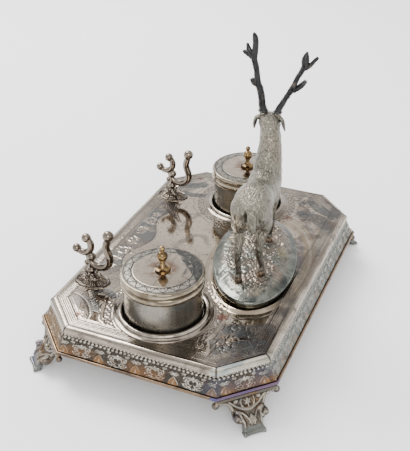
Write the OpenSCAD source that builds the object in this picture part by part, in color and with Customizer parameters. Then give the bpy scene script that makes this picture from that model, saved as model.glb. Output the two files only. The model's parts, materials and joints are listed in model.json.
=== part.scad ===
// Footed desk inkstand: an eight-sided plated tray with two lift-out inkwells,
// a pair of scroll pen rests and a cast stag standing on an oval ground.
// Origin: floor level under the middle of the tray. X runs along the tray,
// the pen rests are on the -Y side, the stag is on the +Y side and faces -X.

/* [Tray] */
// Length of the flat top plate
tray_len = 256; // [240:1:300]
// Width of the flat top plate
tray_wid = 167.2; // [160:0.2:190]
// How much each corner of the plate is cut back along its sides
corner_cut = 26.2; // [20:0.1:32]
// Thickness of the rolled top plate
plate_t = 1.2; // [0.8:0.1:2]
// Radius of the polished convex edge moulding
edge_r = 4; // [3:0.1:5]
// Height from the plate down to the bottom of the sloping gallery
gallery_drop = 19.8; // [16:0.1:26]
// How far the gallery spreads out beyond the plate
gallery_out = 11.3; // [9:0.1:15]
// Thickness of the stamped gallery strip
gallery_t = 1; // [0.7:0.1:1.4]
// Radius of the wire round the bottom of the gallery
rim_r = 1.1; // [0.8:0.1:1.4]
// Radius of the beads under the edge moulding
bead_r = 1; // [0.7:0.1:1.2]

/* [Feet] */
// Height from the floor to the underside of the gallery
foot_h = 24.2; // [20:0.1:32]
// Width of the bar at the top of a foot
foot_w = 46; // [40:0.5:47]
// Width of the square toe
toe_w = 16; // [13:0.5:18]
// How far the toe stands out beyond the gallery
toe_out = 14.8; // [12:0.1:17]
// Thickness of the cast bracket
foot_t = 4.2; // [3:0.1:5]

/* [Inkwells] */
// Distance of each inkwell's middle from its end of the plate
well_in = 41.8; // [38:0.1:44]
// Outer radius of the metal pot
pot_r = 28.8; // [26:0.1:29.4]
// Wall thickness of the pot
pot_wall = 1; // [0.8:0.1:1.5]
// Height of the pot's rim above the plate
pot_rise = 31.7; // [26:0.1:38]
// Height of the moulding round the top of the pot
bezel_h = 5.4; // [4:0.1:6.5]
// How far the mouldings of pot and lid stand out
bezel_out = 1.9; // [1.2:0.1:2.2]
// Gap between the pot and the collar it drops into
pot_gap = 1.4; // [0.8:0.1:1.8]
// Radius of the half-round bead of the collar
collar_bead_r = 1.8; // [1.4:0.1:2]
// Width of the flat step outside the collar's bead
collar_step = 3.1; // [1.5:0.1:3.6]
// Height of the collar above the plate
collar_h = 4.2; // [3:0.1:5]
// Depth of the pan below the plate
pan_depth = 6; // [4:0.1:9]
// Height of the lid's side
lid_h = 5.2; // [4:0.1:6]
// Rise of the lid's shallow dome
lid_dome = 0.8; // [0.4:0.1:1.5]
// Depth of the ring that keys the lid into the pot
key_h = 3; // [2:0.1:4]
// Clearance of the key ring inside the pot
key_gap = 0.3; // [0.2:0.05:0.5]
// Wall thickness of the glass liner
glass_t = 3; // [2:0.1:4]
// Clearance of the liner inside the pot
glass_gap = 0.6; // [0.4:0.1:0.8]

/* [Finial] */
// Radius of the finial's base
finial_r = 6; // [5:0.1:6.8]
// Radius of the finial's ball
finial_ball_r = 4; // [3.2:0.1:4.4]
// Radius of the small ball on the tip
finial_tip_r = 2.1; // [1.6:0.1:2.4]
// Radius of the threaded stud
finial_stud_r = 1.5; // [1.2:0.1:1.8]

/* [Pen rests] */
// Distance of each pen rest from its end of the plate
rest_in = 55; // [50:0.5:58]
// Distance of the pen rests from the plate's front edge
rest_back = 15.6; // [15.2:0.1:17.6]
// Half length of the leafy rosette, front to back
rosette_r = 14.2; // [12:0.1:15]
// Half width of the rosette
rosette_w = 9.6; // [8:0.1:12]
// Height of the pen rest's knot above the plate
knot_z = 23.1; // [22:0.1:26]
// Radius of the open U that holds a pen
cradle_r = 9.2; // [8.6:0.1:10.4]
// Radius of the front C scroll
curl_r = 7.2; // [6.8:0.1:8]
// Thickness radius of the scrolls
scroll_r = 2.9; // [2.4:0.1:3.1]
// Radius of the ball that ends the back arm
arm_ball_r = 4.2; // [3.6:0.1:4.6]
// Height of the bowed part of the back arm
arm_h = 20.7; // [18:0.1:23]

/* [Stag and its ground] */
// Half length of the oval ground
ground_a = 62.5; // [60:0.1:63.5]
// Half width of the oval ground
ground_b = 33; // [31:0.1:34]
// Distance of the ground's middle from the plate's back edge
ground_back = 44.1; // [43:0.1:46]
// Turn of the oval ground on the tray
ground_turn = 13.4; // [11:0.1:15]
// Height of the ground above its seat
ground_h = 10.4; // [8:0.1:13]
// Height of the raised boss pressed into the plate
boss_h = 1.6; // [1:0.1:2.4]
// Height of the stag from its hooves to the top of its head
stag_h = 107.5; // [95:0.5:112]
// Turn of the stag on the tray
stag_turn = 7; // [4:0.5:10]
// Radius of the two studs that hold the ground to the tray
stud_r = 2; // [1.6:0.1:2.5]

/* [Hidden] */

round_fn = 96;
small_fn = 40;

// Heights that everything is stacked from
plate_z = foot_h + gallery_drop;
under_z = plate_z - plate_t;
edge_z = plate_z - edge_r;
pan_z = under_z - pan_depth;
pan_wall = 1;
pan_flange = 4;
rim_z = plate_z + pot_rise;

// Places on the plate, from its ends and its front and back edges
well_x = tray_len/2 - well_in;
well_y = -1;
rest_x = tray_len/2 - rest_in;
rest_y = tray_wid/2 - rest_back;
ground_at = [2, tray_wid/2 - ground_back];
boss_at = ground_at + [-4, 3.5];
stag_at = ground_at + [-0.4, 3];

// Radii of the well, from the pot outwards
bore_r = pot_r + pot_gap;
collar_r = bore_r + 2*collar_bead_r + collar_step;
collar_clear = 0.5;
pot_in_r = pot_r - pot_wall;
key_r = pot_in_r - key_gap;
liner_r = pot_in_r - glass_gap;

// Clearance of a stud in its hole
stud_gap = 0.05;

// Colours as the photograph shows them
silver = [0.72, 0.69, 0.65];
worn = [0.66, 0.58, 0.48];
gilt = [0.78, 0.66, 0.45];
dark = [0.25, 0.25, 0.26];
copper = [0.62, 0.45, 0.30];
clear = [0.80, 0.88, 0.90, 0.5];

// Tray outline

// How much the corner cut grows when the outline is moved out by o
function cut_at(o) = corner_cut + o*(2 - sqrt(2));

// The eight corners of the tray's outline moved out by o, counter-clockwise
function outline(o) = let(a = tray_len/2 + o, b = tray_wid/2 + o, c = cut_at(o))
    [[-a + c, -b], [a - c, -b], [a, -b + c], [a, b - c],
     [a - c, b], [-a + c, b], [-a, b - c], [-a, -b + c]];

// Side i runs from corner i to corner i + 1: 0 front, 2 right, 4 back, 6 left
front_side = 0;
right_side = 2;
back_side = 4;
left_side = 6;
long_sides = [0, 2, 4, 6];
corner_sides = [1, 3, 5, 7];

function side_mid(i, o) = (outline(o)[i] + outline(o)[(i + 1) % 8])/2;
function side_angle(i) = 45*i;

// A strip with the given cross-section laid along side i. The section's x is
// the distance outside the plate and its y is the height. Mitred at both ends.
module mitred_strip(i, inner, outer) {
    m = side_mid(i, 0);
    lo = outline(inner);
    hi = outline(outer);
    k = (i + 1) % 8;
    intersection() {
        translate([m[0], m[1], 0])
            rotate([0, 0, side_angle(i)])
                rotate([90, 0, -90])
                    translate([0, 0, -tray_len/2])
                        linear_extrude(tray_len)
                            children();
        linear_extrude(plate_z + 1)
            polygon([lo[i], hi[i], hi[k], lo[k]]);
    }
}

// A point at the given radius and angle round a centre
function polar(c, r, a) = c + r*[cos(a), sin(a)];
function arc(c, r, a0, a1, n) = [for (j = [0:n]) polar(c, r, a0 + (a1 - a0)*j/n)];

// Edge moulding: a quarter round against the plate's edge
module edge_section() {
    intersection() {
        translate([0, edge_z])
            circle(r = edge_r, $fn = round_fn);
        translate([0, edge_z])
            square(edge_r + 1);
    }
}

module edge_strip(i) {
    mitred_strip(i, -1, edge_r + 1)
        edge_section();
}

// Gallery: a stamped strip that hangs under the edge moulding, drops past the
// beads, sweeps out in a hollow and turns in at the foot
neck_o = edge_r - 1.3;
lip_o = gallery_out - 2*rim_r;
lip_z = foot_h + 2*rim_r;
lip_in = 6;
neck_z = edge_z - 2*bead_r - 0.8;
sweep_steps = 10;

// A smooth ogee from the neck to the lip: 0 at the top, 1 at the bottom
function ogee(t) = t - 0.14*sin(360*t);
function sweep_pt(j, off) = let(t = j/sweep_steps)
    [neck_o + (lip_o - neck_o)*t + off, neck_z + (lip_z - neck_z)*ogee(t)];

module gallery_section() {
    polygon(concat(
        [[neck_o, edge_z]],
        [for (j = [0:sweep_steps]) sweep_pt(j, 0)],
        [[lip_o, foot_h], [lip_o - lip_in, foot_h], [lip_o - lip_in, foot_h + gallery_t],
         [lip_o - gallery_t, foot_h + gallery_t]],
        [for (j = [sweep_steps:-1:0]) sweep_pt(j, -gallery_t*1.2)],
        [[neck_o - gallery_t*1.2, edge_z - gallery_t], [-lip_in/2, edge_z - gallery_t],
         [-lip_in/2, edge_z]]
    ));
}

module gallery_strip(i) {
    mitred_strip(i, -lip_in, gallery_out + 1)
        gallery_section();
}

// Wire soldered round the gallery's lip
module rim_section() {
    difference() {
        translate([lip_o + rim_r, foot_h + rim_r])
            circle(r = rim_r, $fn = small_fn);
        translate([lip_o - 2*rim_r, foot_h])
            square([2*rim_r, 3*rim_r]);
    }
}

module rim_wire(sides) {
    color(copper)
        for (i = sides)
            mitred_strip(i, 0, gallery_out + 1)
                rim_section();
}

module rim_sides() {
    rim_wire(long_sides);
}

module rim_corners() {
    rim_wire(corner_sides);
}

// Row of beads under the moulding, drawn as the half-round strip they are cut from

module bead_row(sides) {
    color(silver)
        for (i = sides)
            mitred_strip(i, 0, edge_r + 1)
                translate([neck_o, edge_z - 2*bead_r])
                    intersection() {
                        square(2*bead_r);
                        translate([0, bead_r])
                            circle(r = bead_r, $fn = small_fn);
                    }
}

module bead_sides() {
    bead_row(long_sides);
}

module bead_corners() {
    bead_row(corner_sides);
}

module edge_front() {
    color(silver)
        edge_strip(front_side);
}

module edge_back() {
    color(silver)
        edge_strip(back_side);
}

module edge_left() {
    color(silver)
        edge_strip(left_side);
}

module edge_right() {
    color(silver)
        edge_strip(right_side);
}

module edge_corners() {
    color(silver)
        for (i = corner_sides)
            edge_strip(i);
}

module gallery_front() {
    color(worn)
        gallery_strip(front_side);
}

module gallery_back() {
    color(worn)
        gallery_strip(back_side);
}

module gallery_left() {
    color(worn)
        gallery_strip(left_side);
}

module gallery_right() {
    color(worn)
        gallery_strip(right_side);
}

module gallery_corners() {
    color(worn)
        for (i = corner_sides)
            gallery_strip(i);
}

// Top plate with its pressed boss, well holes and stud holes

boss_turn = 6;
boss_a = ground_a + 4;
boss_b = ground_b + 3.4;
oval_n = 64;
ground_foot_in = 4;

function oval(a, b, n) = [for (j = [0:n - 1]) [a*cos(360*j/n), b*sin(360*j/n)]];

// The studs of the ground, along its long axis
stud_x = 28;

module at_ground(z) {
    translate([ground_at[0], ground_at[1], z])
        rotate([0, 0, ground_turn])
            children();
}

module at_studs(z) {
    at_ground(z)
        for (s = [-1, 1])
            translate([s*stud_x, 0, 0])
                children();
}

module at_rests(z) {
    for (s = [-1, 1])
        translate([s*rest_x, -rest_y, z])
            children();
}

rest_stud_r = 1.6;

// The boss stops short of the collars
module boss_outline() {
    difference() {
        translate(boss_at)
            rotate([0, 0, boss_turn])
                polygon(oval(boss_a, boss_b, oval_n));
        for (s = [-1, 1])
            translate([s*well_x, well_y])
                circle(r = collar_r + collar_clear, $fn = round_fn);
    }
}

module top_plate() {
    color(silver)
        difference() {
            union() {
                translate([0, 0, under_z])
                    linear_extrude(plate_t)
                        polygon(outline(0));
                translate([0, 0, plate_z - plate_t/2])
                    linear_extrude(plate_t/2 + boss_h)
                        boss_outline();
            }
            for (s = [-1, 1])
                translate([s*well_x, well_y, under_z - 1])
                    cylinder(r = bore_r, h = plate_t + 2, $fn = round_fn);
            at_studs(under_z - 1)
                cylinder(r = stud_r + stud_gap, h = plate_t + boss_h + 2, $fn = small_fn);
            at_rests(under_z - 1)
                cylinder(r = rest_stud_r + stud_gap, h = plate_t + 2, $fn = small_fn);
        }
}

// Feet: a cast bracket whose front outline and curved side outline are cut
// from each other, with scroll volutes at its sides and a flared toe

bar_r = 1.8;
knob_r = 2.6;
knob_drop = 5;
arm_deep = 4.4;
body_w = 24;
waist_w = 14;
volute_r = 2.6;
volute_z = 10.8;
volute_y = 6.4;
volute_out = 1.4;
toe_h = 1.6;
toe_bevel = 0.8;
sole_d = 9;

// Half of the front outline, from the middle of the sole up to the bar
module foot_front_outline() {
    h = foot_h;
    w = foot_w/2;
    hollow_r = [w - body_w/2, h - arm_deep - volute_z - volute_r];
    half = concat(
        [[0, 0], [toe_w/2 - toe_bevel, 0], [toe_w/2, toe_bevel], [toe_w/2, toe_h]],
        arc([toe_w/2 + 3.6, toe_h + 4.2], toe_w/2 + 3.6 - waist_w/2, 225, 155, 5),
        [[waist_w/2 + 1.4, volute_z]],
        [for (j = [0:8]) let(a = 10.5*j)
            [w - hollow_r[0]*cos(a), volute_z + volute_r + hollow_r[1]*sin(a)]],
        [[w, h - knob_drop], [w, h], [0, h]]
    );
    polygon(half);
    mirror([1, 0])
        polygon(half);
}

// Side outline: x is outwards from the rim of the gallery, y is height. The
// bracket curves from under the rim out to the toe with an even thickness.
module foot_side_outline() {
    h = foot_h;
    bend = [toe_out + 1, h - bar_r + 3];
    bend_r = toe_out + 2.6;
    polygon(concat(
        [[-bar_r, h], [-bar_r, h - bar_r]],
        arc(bend, bend_r, 196, 252, 10),
        [[toe_out - 2.2, toe_h + 2], [toe_out - 0.6, toe_h + 0.6], [toe_out, toe_h - 0.4],
         [toe_out - 0.3, 0.4], [toe_out - 1, 0], [toe_out - sole_d, 0], [toe_out - sole_d, 1]],
        arc(bend, bend_r + foot_t, 240, 197, 10),
        [[-bar_r - foot_t, h - bar_r], [-bar_r - foot_t, h]]
    ));
}

module foot() {
    color(copper)
        union() {
            intersection() {
                rotate([90, 0, 0])
                    translate([0, 0, -2*toe_out])
                        linear_extrude(3*toe_out)
                            foot_front_outline();
                rotate([90, 0, 90])
                    translate([0, 0, -foot_w])
                        linear_extrude(2*foot_w)
                            foot_side_outline();
            }
            // Bar across the top, a knob below each end, and a volute at each side
            translate([-foot_w/2, -bar_r, foot_h - bar_r])
                rotate([0, 90, 0])
                    cylinder(r = bar_r, h = foot_w, $fn = small_fn);
            for (s = [-1, 1]) {
                translate([s*foot_w/2, -bar_r, foot_h - knob_drop])
                    sphere(r = knob_r, $fn = 32);
                translate([s*(body_w/2 - volute_r + 0.6), volute_y, volute_z])
                    rotate([90, 0, 0])
                        cylinder(r = volute_r, h = foot_t + volute_out, $fn = small_fn);
            }
        }
}

module foot_at(i) {
    m = side_mid(i, gallery_out);
    translate([m[0], m[1], 0])
        rotate([0, 0, side_angle(i) + 180])
            foot();
}

module foot_front_right() {
    foot_at(1);
}

module foot_back_right() {
    foot_at(3);
}

module foot_back_left() {
    foot_at(5);
}

module foot_front_left() {
    foot_at(7);
}

// Wells: side is -1 for the left well and 1 for the right well

module at_well(side, z) {
    translate([side*well_x, well_y, z])
        children();
}

// Collar soldered on the plate round the hole: a flat step and a raised bead
module collar(side) {
    step_h = 1.2;
    bead_z = collar_h - collar_bead_r;
    color(silver)
        at_well(side, plate_z)
            rotate_extrude($fn = round_fn)
                union() {
                    translate([bore_r, 0])
                        square([collar_r - bore_r, step_h]);
                    translate([bore_r, 0])
                        square([2*collar_bead_r, bead_z]);
                    translate([bore_r + collar_bead_r, bead_z])
                        circle(r = collar_bead_r, $fn = small_fn);
                }
}

// Pan under the plate that the pot stands in
module pan(side) {
    color(silver)
        at_well(side, pan_z - pan_wall)
            difference() {
                union() {
                    cylinder(r = bore_r + pan_wall, h = pan_depth + pan_wall, $fn = round_fn);
                    translate([0, 0, pan_depth])
                        cylinder(r = bore_r + pan_flange, h = pan_wall, $fn = round_fn);
                }
                translate([0, 0, pan_wall])
                    cylinder(r = bore_r, h = pan_depth + 1, $fn = round_fn);
            }
}

pot_floor = 1.2;

module pot(side) {
    color(silver)
        at_well(side, pan_z)
            difference() {
                cylinder(r = pot_r, h = rim_z - pan_z, $fn = round_fn);
                translate([0, 0, pot_floor])
                    cylinder(r = pot_in_r, h = rim_z - pan_z, $fn = round_fn);
            }
}

// Moulding with one round swell, of height h, from radius r outwards
module swell(r, out, h) {
    rotate_extrude($fn = round_fn)
        union() {
            translate([r, 0])
                square([out - h/4, h]);
            translate([r + out - h/4, h/2])
                intersection() {
                    scale([0.5, 1])
                        circle(r = h/2, $fn = small_fn);
                    translate([0, -h/2])
                        square(h);
                }
        }
}

module bezel(side) {
    color(gilt)
        at_well(side, rim_z - bezel_h)
            swell(pot_r, bezel_out, bezel_h);
}

// Glass liner with a rounded bowl
module liner(side) {
    floor_z = pan_z + pot_floor;
    key_clear = 0.5;
    top = rim_z - key_h - key_clear - floor_z;
    glass_floor = glass_t + 1;
    in_r = liner_r - glass_t;
    bowl_r = 6;
    color(clear)
        at_well(side, floor_z)
            difference() {
                cylinder(r = liner_r, h = top, $fn = round_fn);
                translate([0, 0, glass_floor + bowl_r])
                    cylinder(r = in_r, h = top, $fn = round_fn);
                translate([0, 0, glass_floor])
                    rotate_extrude($fn = round_fn)
                        union() {
                            square([in_r - bowl_r, 2*bowl_r]);
                            intersection() {
                                translate([in_r - bowl_r, bowl_r])
                                    circle(r = bowl_r, $fn = small_fn);
                                square([in_r, 2*bowl_r]);
                            }
                            translate([0, bowl_r])
                                square([in_r, bowl_r]);
                        }
            }
}

// Lid: a shallow dome with a deep side and a ring that keys into the pot
lid_flat_r = finial_r + 1;
lid_top = lid_h + lid_dome;
lid_sheet = 1.6;
key_t = 1;
dome_steps = 6;

// Height of the lid's top at a share t of the way from its flat to its edge
function dome_at(t) = lid_h + lid_dome*(1 - t*t);

module lid(side) {
    color(silver)
        at_well(side, rim_z)
            difference() {
                rotate_extrude($fn = round_fn)
                    polygon(concat(
                        [[0, lid_top], [lid_flat_r, lid_top]],
                        [for (j = [1:dome_steps]) let(t = j/dome_steps)
                            [lid_flat_r + (pot_r - lid_flat_r)*t, dome_at(t)]],
                        [[pot_r, 0], [key_r, 0], [key_r, -key_h], [key_r - key_t, -key_h],
                         [key_r - key_t, lid_h - lid_sheet],
                         [lid_flat_r, lid_top - lid_sheet], [0, lid_top - lid_sheet]]
                    ));
                cylinder(r = finial_stud_r + stud_gap, h = 2*lid_top, $fn = small_fn);
            }
}

module lid_band(side) {
    color(gilt)
        at_well(side, rim_z)
            swell(pot_r, bezel_out, lid_h);
}

// Finial: a turned knop with a bell base, a ball and a small tip, on a stud
finial_stud_len = 5;

module finial(side) {
    neck_h = 7.6;
    waist_h = 6.2;
    hollow_r = 4.7;
    ball_z = neck_h + finial_ball_r - 0.5;
    tip_z = ball_z + finial_ball_r + finial_tip_r;
    color(gilt)
        at_well(side, rim_z + lid_top) {
            rotate_extrude($fn = 64)
                polygon(concat(
                    [[0, 0], [finial_r, 0], [finial_r, 0.8]],
                    arc([finial_r + 0.3, waist_h], hollow_r, 265, 188, 6),
                    [[finial_r + 0.3 - hollow_r, waist_h], [2.4, 6.8], [1.7, neck_h]],
                    arc([0, ball_z], finial_ball_r, -62, 68, 10),
                    arc([0, tip_z], finial_tip_r, -50, 90, 8)
                ));
            translate([0, 0, -finial_stud_len])
                cylinder(r = finial_stud_r, h = finial_stud_len + 0.5, $fn = small_fn);
        }
}

module hex_nut(r, h, hole) {
    difference() {
        cylinder(r = r, h = h, $fn = 6);
        translate([0, 0, -1])
            cylinder(r = hole + stud_gap, h = h + 2, $fn = small_fn);
    }
}

module finial_nut(side) {
    nut_h = 2;
    color(gilt)
        at_well(side, rim_z + lid_top - lid_sheet - nut_h)
            hex_nut(3.2, nut_h, finial_stud_r);
}

// Lofted shapes. A station is [x, y, z, half side, half up]: a centre and the
// half axes of the oval section there.

function unit(v) = v/norm(v);
function head3(v) = [v[0], v[1], v[2]];

// One coordinate of a smooth curve through four neighbouring stations
function spline(p0, p1, p2, p3, t) =
    ((2*p1) + (p2 - p0)*t + (2*p0 - 5*p1 + 4*p2 - p3)*t*t + (3*p1 - p0 - 3*p2 + p3)*t*t*t)/2;

// The stations with k - 1 more between each pair
function smooth(s, k) = concat(
    [for (i = [0:len(s) - 2], j = [0:k - 1])
        spline(s[max(i - 1, 0)], s[i], s[i + 1], s[min(i + 2, len(s) - 1)], j/k)],
    [s[len(s) - 1]]);

// One oval section with n points, square to the line of the stations
function section(s, i, side, n) = let(
    c = head3(s[i]),
    dir = unit(head3(s[min(i + 1, len(s) - 1)]) - head3(s[max(i - 1, 0)])),
    up = unit(cross(dir, side)),
    across = cross(up, dir))
    [for (j = [0:n - 1]) c + across*s[i][3]*cos(360*j/n) + up*s[i][4]*sin(360*j/n)];

// Skin over a list of rings of n points each
module skin(rings, n) {
    m = len(rings);
    polyhedron(
        points = [for (r = rings, p = r) p],
        faces = concat(
            [for (i = [0:m - 2], j = [0:n - 1]) let(k = (j + 1) % n)
                [i*n + j, (i + 1)*n + j, (i + 1)*n + k]],
            [for (i = [0:m - 2], j = [0:n - 1]) let(k = (j + 1) % n)
                [i*n + j, (i + 1)*n + k, i*n + k]],
            [[for (j = [0:n - 1]) j]],
            [[for (j = [n - 1:-1:0]) (m - 1)*n + j]]),
        convexity = 6);
}

module loft(stations, k, n, side = [0, 1, 0]) {
    s = smooth(stations, k);
    skin([for (i = [0:len(s) - 1]) section(s, i, side, n)], n);
}

// Pen rests: a rosette, and above it an S of two scrolls with ball ends

rosette_h = 5.5;
lobe_n = 9;
lobe_depth = 0.09;
rosette_steps = 7;

// Radius of the leafy edge at angle a, as a share of the mean radius
function lobe(a) = 1 - lobe_depth + 2*lobe_depth*pow(abs(sin(lobe_n*a/2)), 0.6);
function rosette_ring(share, z) = [for (j = [0:71]) let(a = 5*j)
    concat(share/(1 + lobe_depth)*(1 + (lobe(a) - 1)*share)*[rosette_w*cos(a), rosette_r*sin(a)], [z])];

module rosette(side) {
    stud_len = 6;
    color(worn)
        translate([side*rest_x, -rest_y, plate_z]) {
            skin(concat(
                [rosette_ring(1, 0), rosette_ring(1, 0.8)],
                [for (j = [1:rosette_steps]) let(t = j/rosette_steps)
                    rosette_ring(1 - 0.76*t, 0.8 + (rosette_h - 0.8)*pow(t, 1.6))]), 72);
            translate([0, 0, -stud_len])
                cylinder(r = rest_stud_r, h = stud_len + 1, $fn = small_fn);
        }
}

// A length of round bar bent in the plane of the scroll, about the point c
module bent_bar(c, r, thick, a0, a1) {
    translate([0, c[0], c[1]])
        rotate([90, 0, 90])
            rotate([0, 0, a0])
                rotate_extrude(angle = a1 - a0, $fn = 64)
                    translate([r, 0])
                        circle(r = thick, $fn = 24);
}

module knop(p, r) {
    translate([0, p[0], p[1]])
        sphere(r = r, $fn = 32);
}

cradle_rise = 1;
cradle_at = [cradle_r - 2, knot_z + cradle_rise];
curl_rise = 2.3;
curl_at = [1 - curl_r, knot_z + curl_r + curl_rise];
curl_from = -139;
curl_to = 60;
knot_y = 0.8;
knot_r = 3.3;

// The arm bows inwards: it leans by this angle at both its ends
arm_lean = 26;
arm_bow_r = arm_h/(2*sin(arm_lean));
arm_foot = cradle_at + [cradle_r, 0];
arm_top = arm_foot + [0, arm_h];
bow_at = arm_foot + arm_bow_r*[cos(arm_lean), sin(arm_lean)];

module pen_scroll(side) {
    curl_thick = scroll_r*0.9;
    stem_h = knot_z - rosette_h;
    leaf_at = [-4, knot_z - 6.2];
    leaf_r = 1.9;
    color(silver)
        translate([side*rest_x, -rest_y, plate_z]) {
            translate([0, 0, rosette_h])
                rotate_extrude($fn = 48)
                    polygon([[0, 0], [3.6, 0], [3.4, 1.2], [2.4, 2.4], [3.4, 3.2], [3.4, 4], [2.4, 5],
                        [2.4, stem_h], [0, stem_h]]);
            bent_bar(cradle_at, cradle_r, scroll_r, 180, 360);
            knop(arm_foot, scroll_r*1.08);
            bent_bar(bow_at, arm_bow_r, scroll_r, 180 - arm_lean, 180 + arm_lean);
            knop(arm_top, arm_ball_r);
            knop(leaf_at, leaf_r);
            bent_bar(curl_at, curl_r, curl_thick, curl_from, curl_to);
            knop(polar(curl_at, curl_r, curl_from), arm_ball_r*0.8);
            knop(polar(curl_at, curl_r, curl_to), arm_ball_r*0.86);
            knop([knot_y, knot_z], knot_r);
        }
}

module rest_nuts() {
    nut_h = 2.4;
    color(gilt)
        at_rests(under_z - nut_h)
            hex_nut(3.6, nut_h, rest_stud_r);
}

// Ground: a cast oval with a rounded edge and a raised top that the stag
// stands on. It hangs over its own foot, so a shadow line shows beneath it.

ground_z = plate_z + boss_h;

// Oval ring drawn in by d all round
function ground_ring(d, z) = [for (p = oval(ground_a - d, ground_b - d, oval_n)) [p[0], p[1], z]];

module ground() {
    foot_top = 1.4;
    edge_mid = 4.2;
    edge_round = 2.3;
    stud_len = 8;
    color(dark)
        at_ground(ground_z) {
            skin(concat(
                [ground_ring(ground_foot_in, 0), ground_ring(ground_foot_in, foot_top)],
                [for (j = [0:6]) let(a = -80 + 160*j/6)
                    ground_ring(edge_round*(1 - cos(a)), edge_mid + edge_round*sin(a))],
                [ground_ring(3.2, ground_h*0.68), ground_ring(6, ground_h*0.79),
                 ground_ring(9, ground_h*0.93), ground_ring(11.5, ground_h)]), oval_n);
            for (s = [-1, 1])
                translate([s*stud_x, 0, -stud_len])
                    cylinder(r = stud_r, h = stud_len + 1, $fn = small_fn);
        }
}

module ground_nuts() {
    nut_h = 3;
    color(gilt)
        at_studs(under_z - nut_h)
            hex_nut(4.4, nut_h, stud_r);
}

// Stag. Its stations are in its own frame, in millimetres for a figure of
// stag_ref height: x forward, y to its left, z up from the hooves.

stag_ref = 107.5;
stag_k = stag_h/stag_ref;

module at_stag() {
    translate([stag_at[0], stag_at[1], ground_z + ground_h])
        rotate([0, 0, 180 + stag_turn])
            scale(stag_k)
                children();
}

// Rump, belly and chest
torso = [[-47.6, 0, 60, 2.5, 3.5], [-46, 0, 60, 7.5, 8.5], [-42, 0, 59.5, 12, 13],
    [-35, 0.5, 58.4, 15, 16.4], [-25, 0.5, 58, 14.2, 17], [-12, 0, 55.5, 12, 14.6],
    [0, 0, 55.5, 12.2, 15.3], [10, 0, 57, 12.4, 16.8], [18, 0, 59, 11.2, 15.6],
    [25, 0, 60.5, 8.6, 12], [29, 0, 61, 4.6, 7], [30.2, 0, 61, 1.5, 2.5]];

// Neck, from inside the chest up into the skull
neck = [[9, 0, 56, 8.5, 9], [13, -0.4, 67, 10.6, 12.4], [17, -0.8, 76, 9.8, 11.4],
    [20.5, -0.5, 85, 8.4, 9.8], [23, 0.5, 93, 7.7, 8.8], [25, 1.4, 99, 7.3, 8.2],
    [26.6, 2, 103, 6.4, 7], [27.4, 2, 105, 5, 5.4], [27.8, 2, 106.2, 2, 2.2]];

// Skull and muzzle
face = [[18, 2, 100, 3.4, 3.4], [21.5, 2, 100.5, 7.2, 6.2], [28, 2, 100.5, 7.8, 7],
    [34, 2, 98, 6.4, 6], [41, 2, 95.4, 4.9, 5.2], [47, 2, 93, 3.9, 4.3],
    [52, 2, 91.4, 3.5, 3.8], [54.5, 2, 90.8, 2, 2.2]];

// A leg from inside the body down to the hoof. top, bend and toe are [x, y]
// places of the thigh, the joint half way down and the hoof.
function leg(top, bend, toe, girth) = [
    [top[0], top[1]*0.8, 58, 6*girth, 9*girth], [top[0], top[1], 47, 5.9*girth, 7.8*girth],
    [top[0] + 1, top[1], 39, 4.6*girth, 5.8*girth], [(top[0] + bend[0])/2, bend[1], 31, 3.4, 4.2],
    [bend[0], bend[1], 23.5, 2.9, 3.4], [bend[0]*0.7 + toe[0]*0.3, bend[1], 16, 2.4, 2.7],
    [toe[0] + 1, toe[1], 8, 2.2, 2.4], [toe[0] + 0.8, toe[1], 4.4, 2.4, 2.7],
    [toe[0], toe[1], 2, 2.7, 3.2], [toe[0], toe[1], 0, 2.9, 3.6]];

hind_left = leg([-34, 9], [-40.5, 8.2], [-42, 7], 1.05);
hind_right = leg([-27, -8], [-31, -5.6], [-29, -7.6], 1.05);
fore_right = leg([14, -6.4], [17.6, -5], [19, -3.6], 0.85);
fore_left = leg([18, 6.4], [25, 6.2], [28, 6], 0.85);

tail = [[-44, -1.6, 64, 2.4, 2], [-47.5, -2.4, 61, 3.2, 2.4], [-49.6, -3.2, 55, 3.7, 2.2],
    [-49.8, -3.8, 49.6, 2.6, 1.6], [-49.4, -4, 47, 0.8, 0.6]];

ear_left = [[26, 6, 102.4, 1.9, 1.9], [25.8, 9.4, 104, 1.9, 1.9], [25.4, 12, 102.8, 2.4, 1.9],
    [25, 13, 98.8, 2.4, 1.8], [24.4, 13.3, 94.6, 1, 1]];
ear_right = [[26, -2, 102.6, 1.9, 1.9], [25.8, -5.2, 104.4, 1.9, 1.9], [25.4, -7.6, 103.2, 2.4, 1.9],
    [24.8, -9, 99.4, 2.4, 1.8], [24.2, -10.5, 94.8, 1, 1]];

// Antlers stand on the pedicles, short stumps on top of the skull
pedicle_z = 107.8;
pedicle_root = 102.8;
pedicle_r = 2.7;
pedicle_left = [26.8, 7.2, pedicle_z];
pedicle_right = [26.8, -3.6, pedicle_z];
forward = [1, 0, 0];

module stag() {
    color(worn)
        at_stag() {
            loft(torso, 2, 24);
            loft(neck, 2, 24);
            loft(face, 2, 20);
            for (l = [hind_left, hind_right, fore_right, fore_left])
                loft(l, 2, 12);
            loft(tail, 2, 12);
            loft(ear_left, 2, 10, forward);
            loft(ear_right, 2, 10, forward);
            for (p = [pedicle_left, pedicle_right])
                translate([p[0], p[1], pedicle_root])
                    cylinder(r = pedicle_r, h = p[2] - pedicle_root, $fn = small_fn);
        }
}

// Points of a branch with its thickness at each: [x, y, z, radius]
function branch(b) = [for (p = b) [p[0], p[1], p[2], p[3], p[3]*0.9]];

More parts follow.
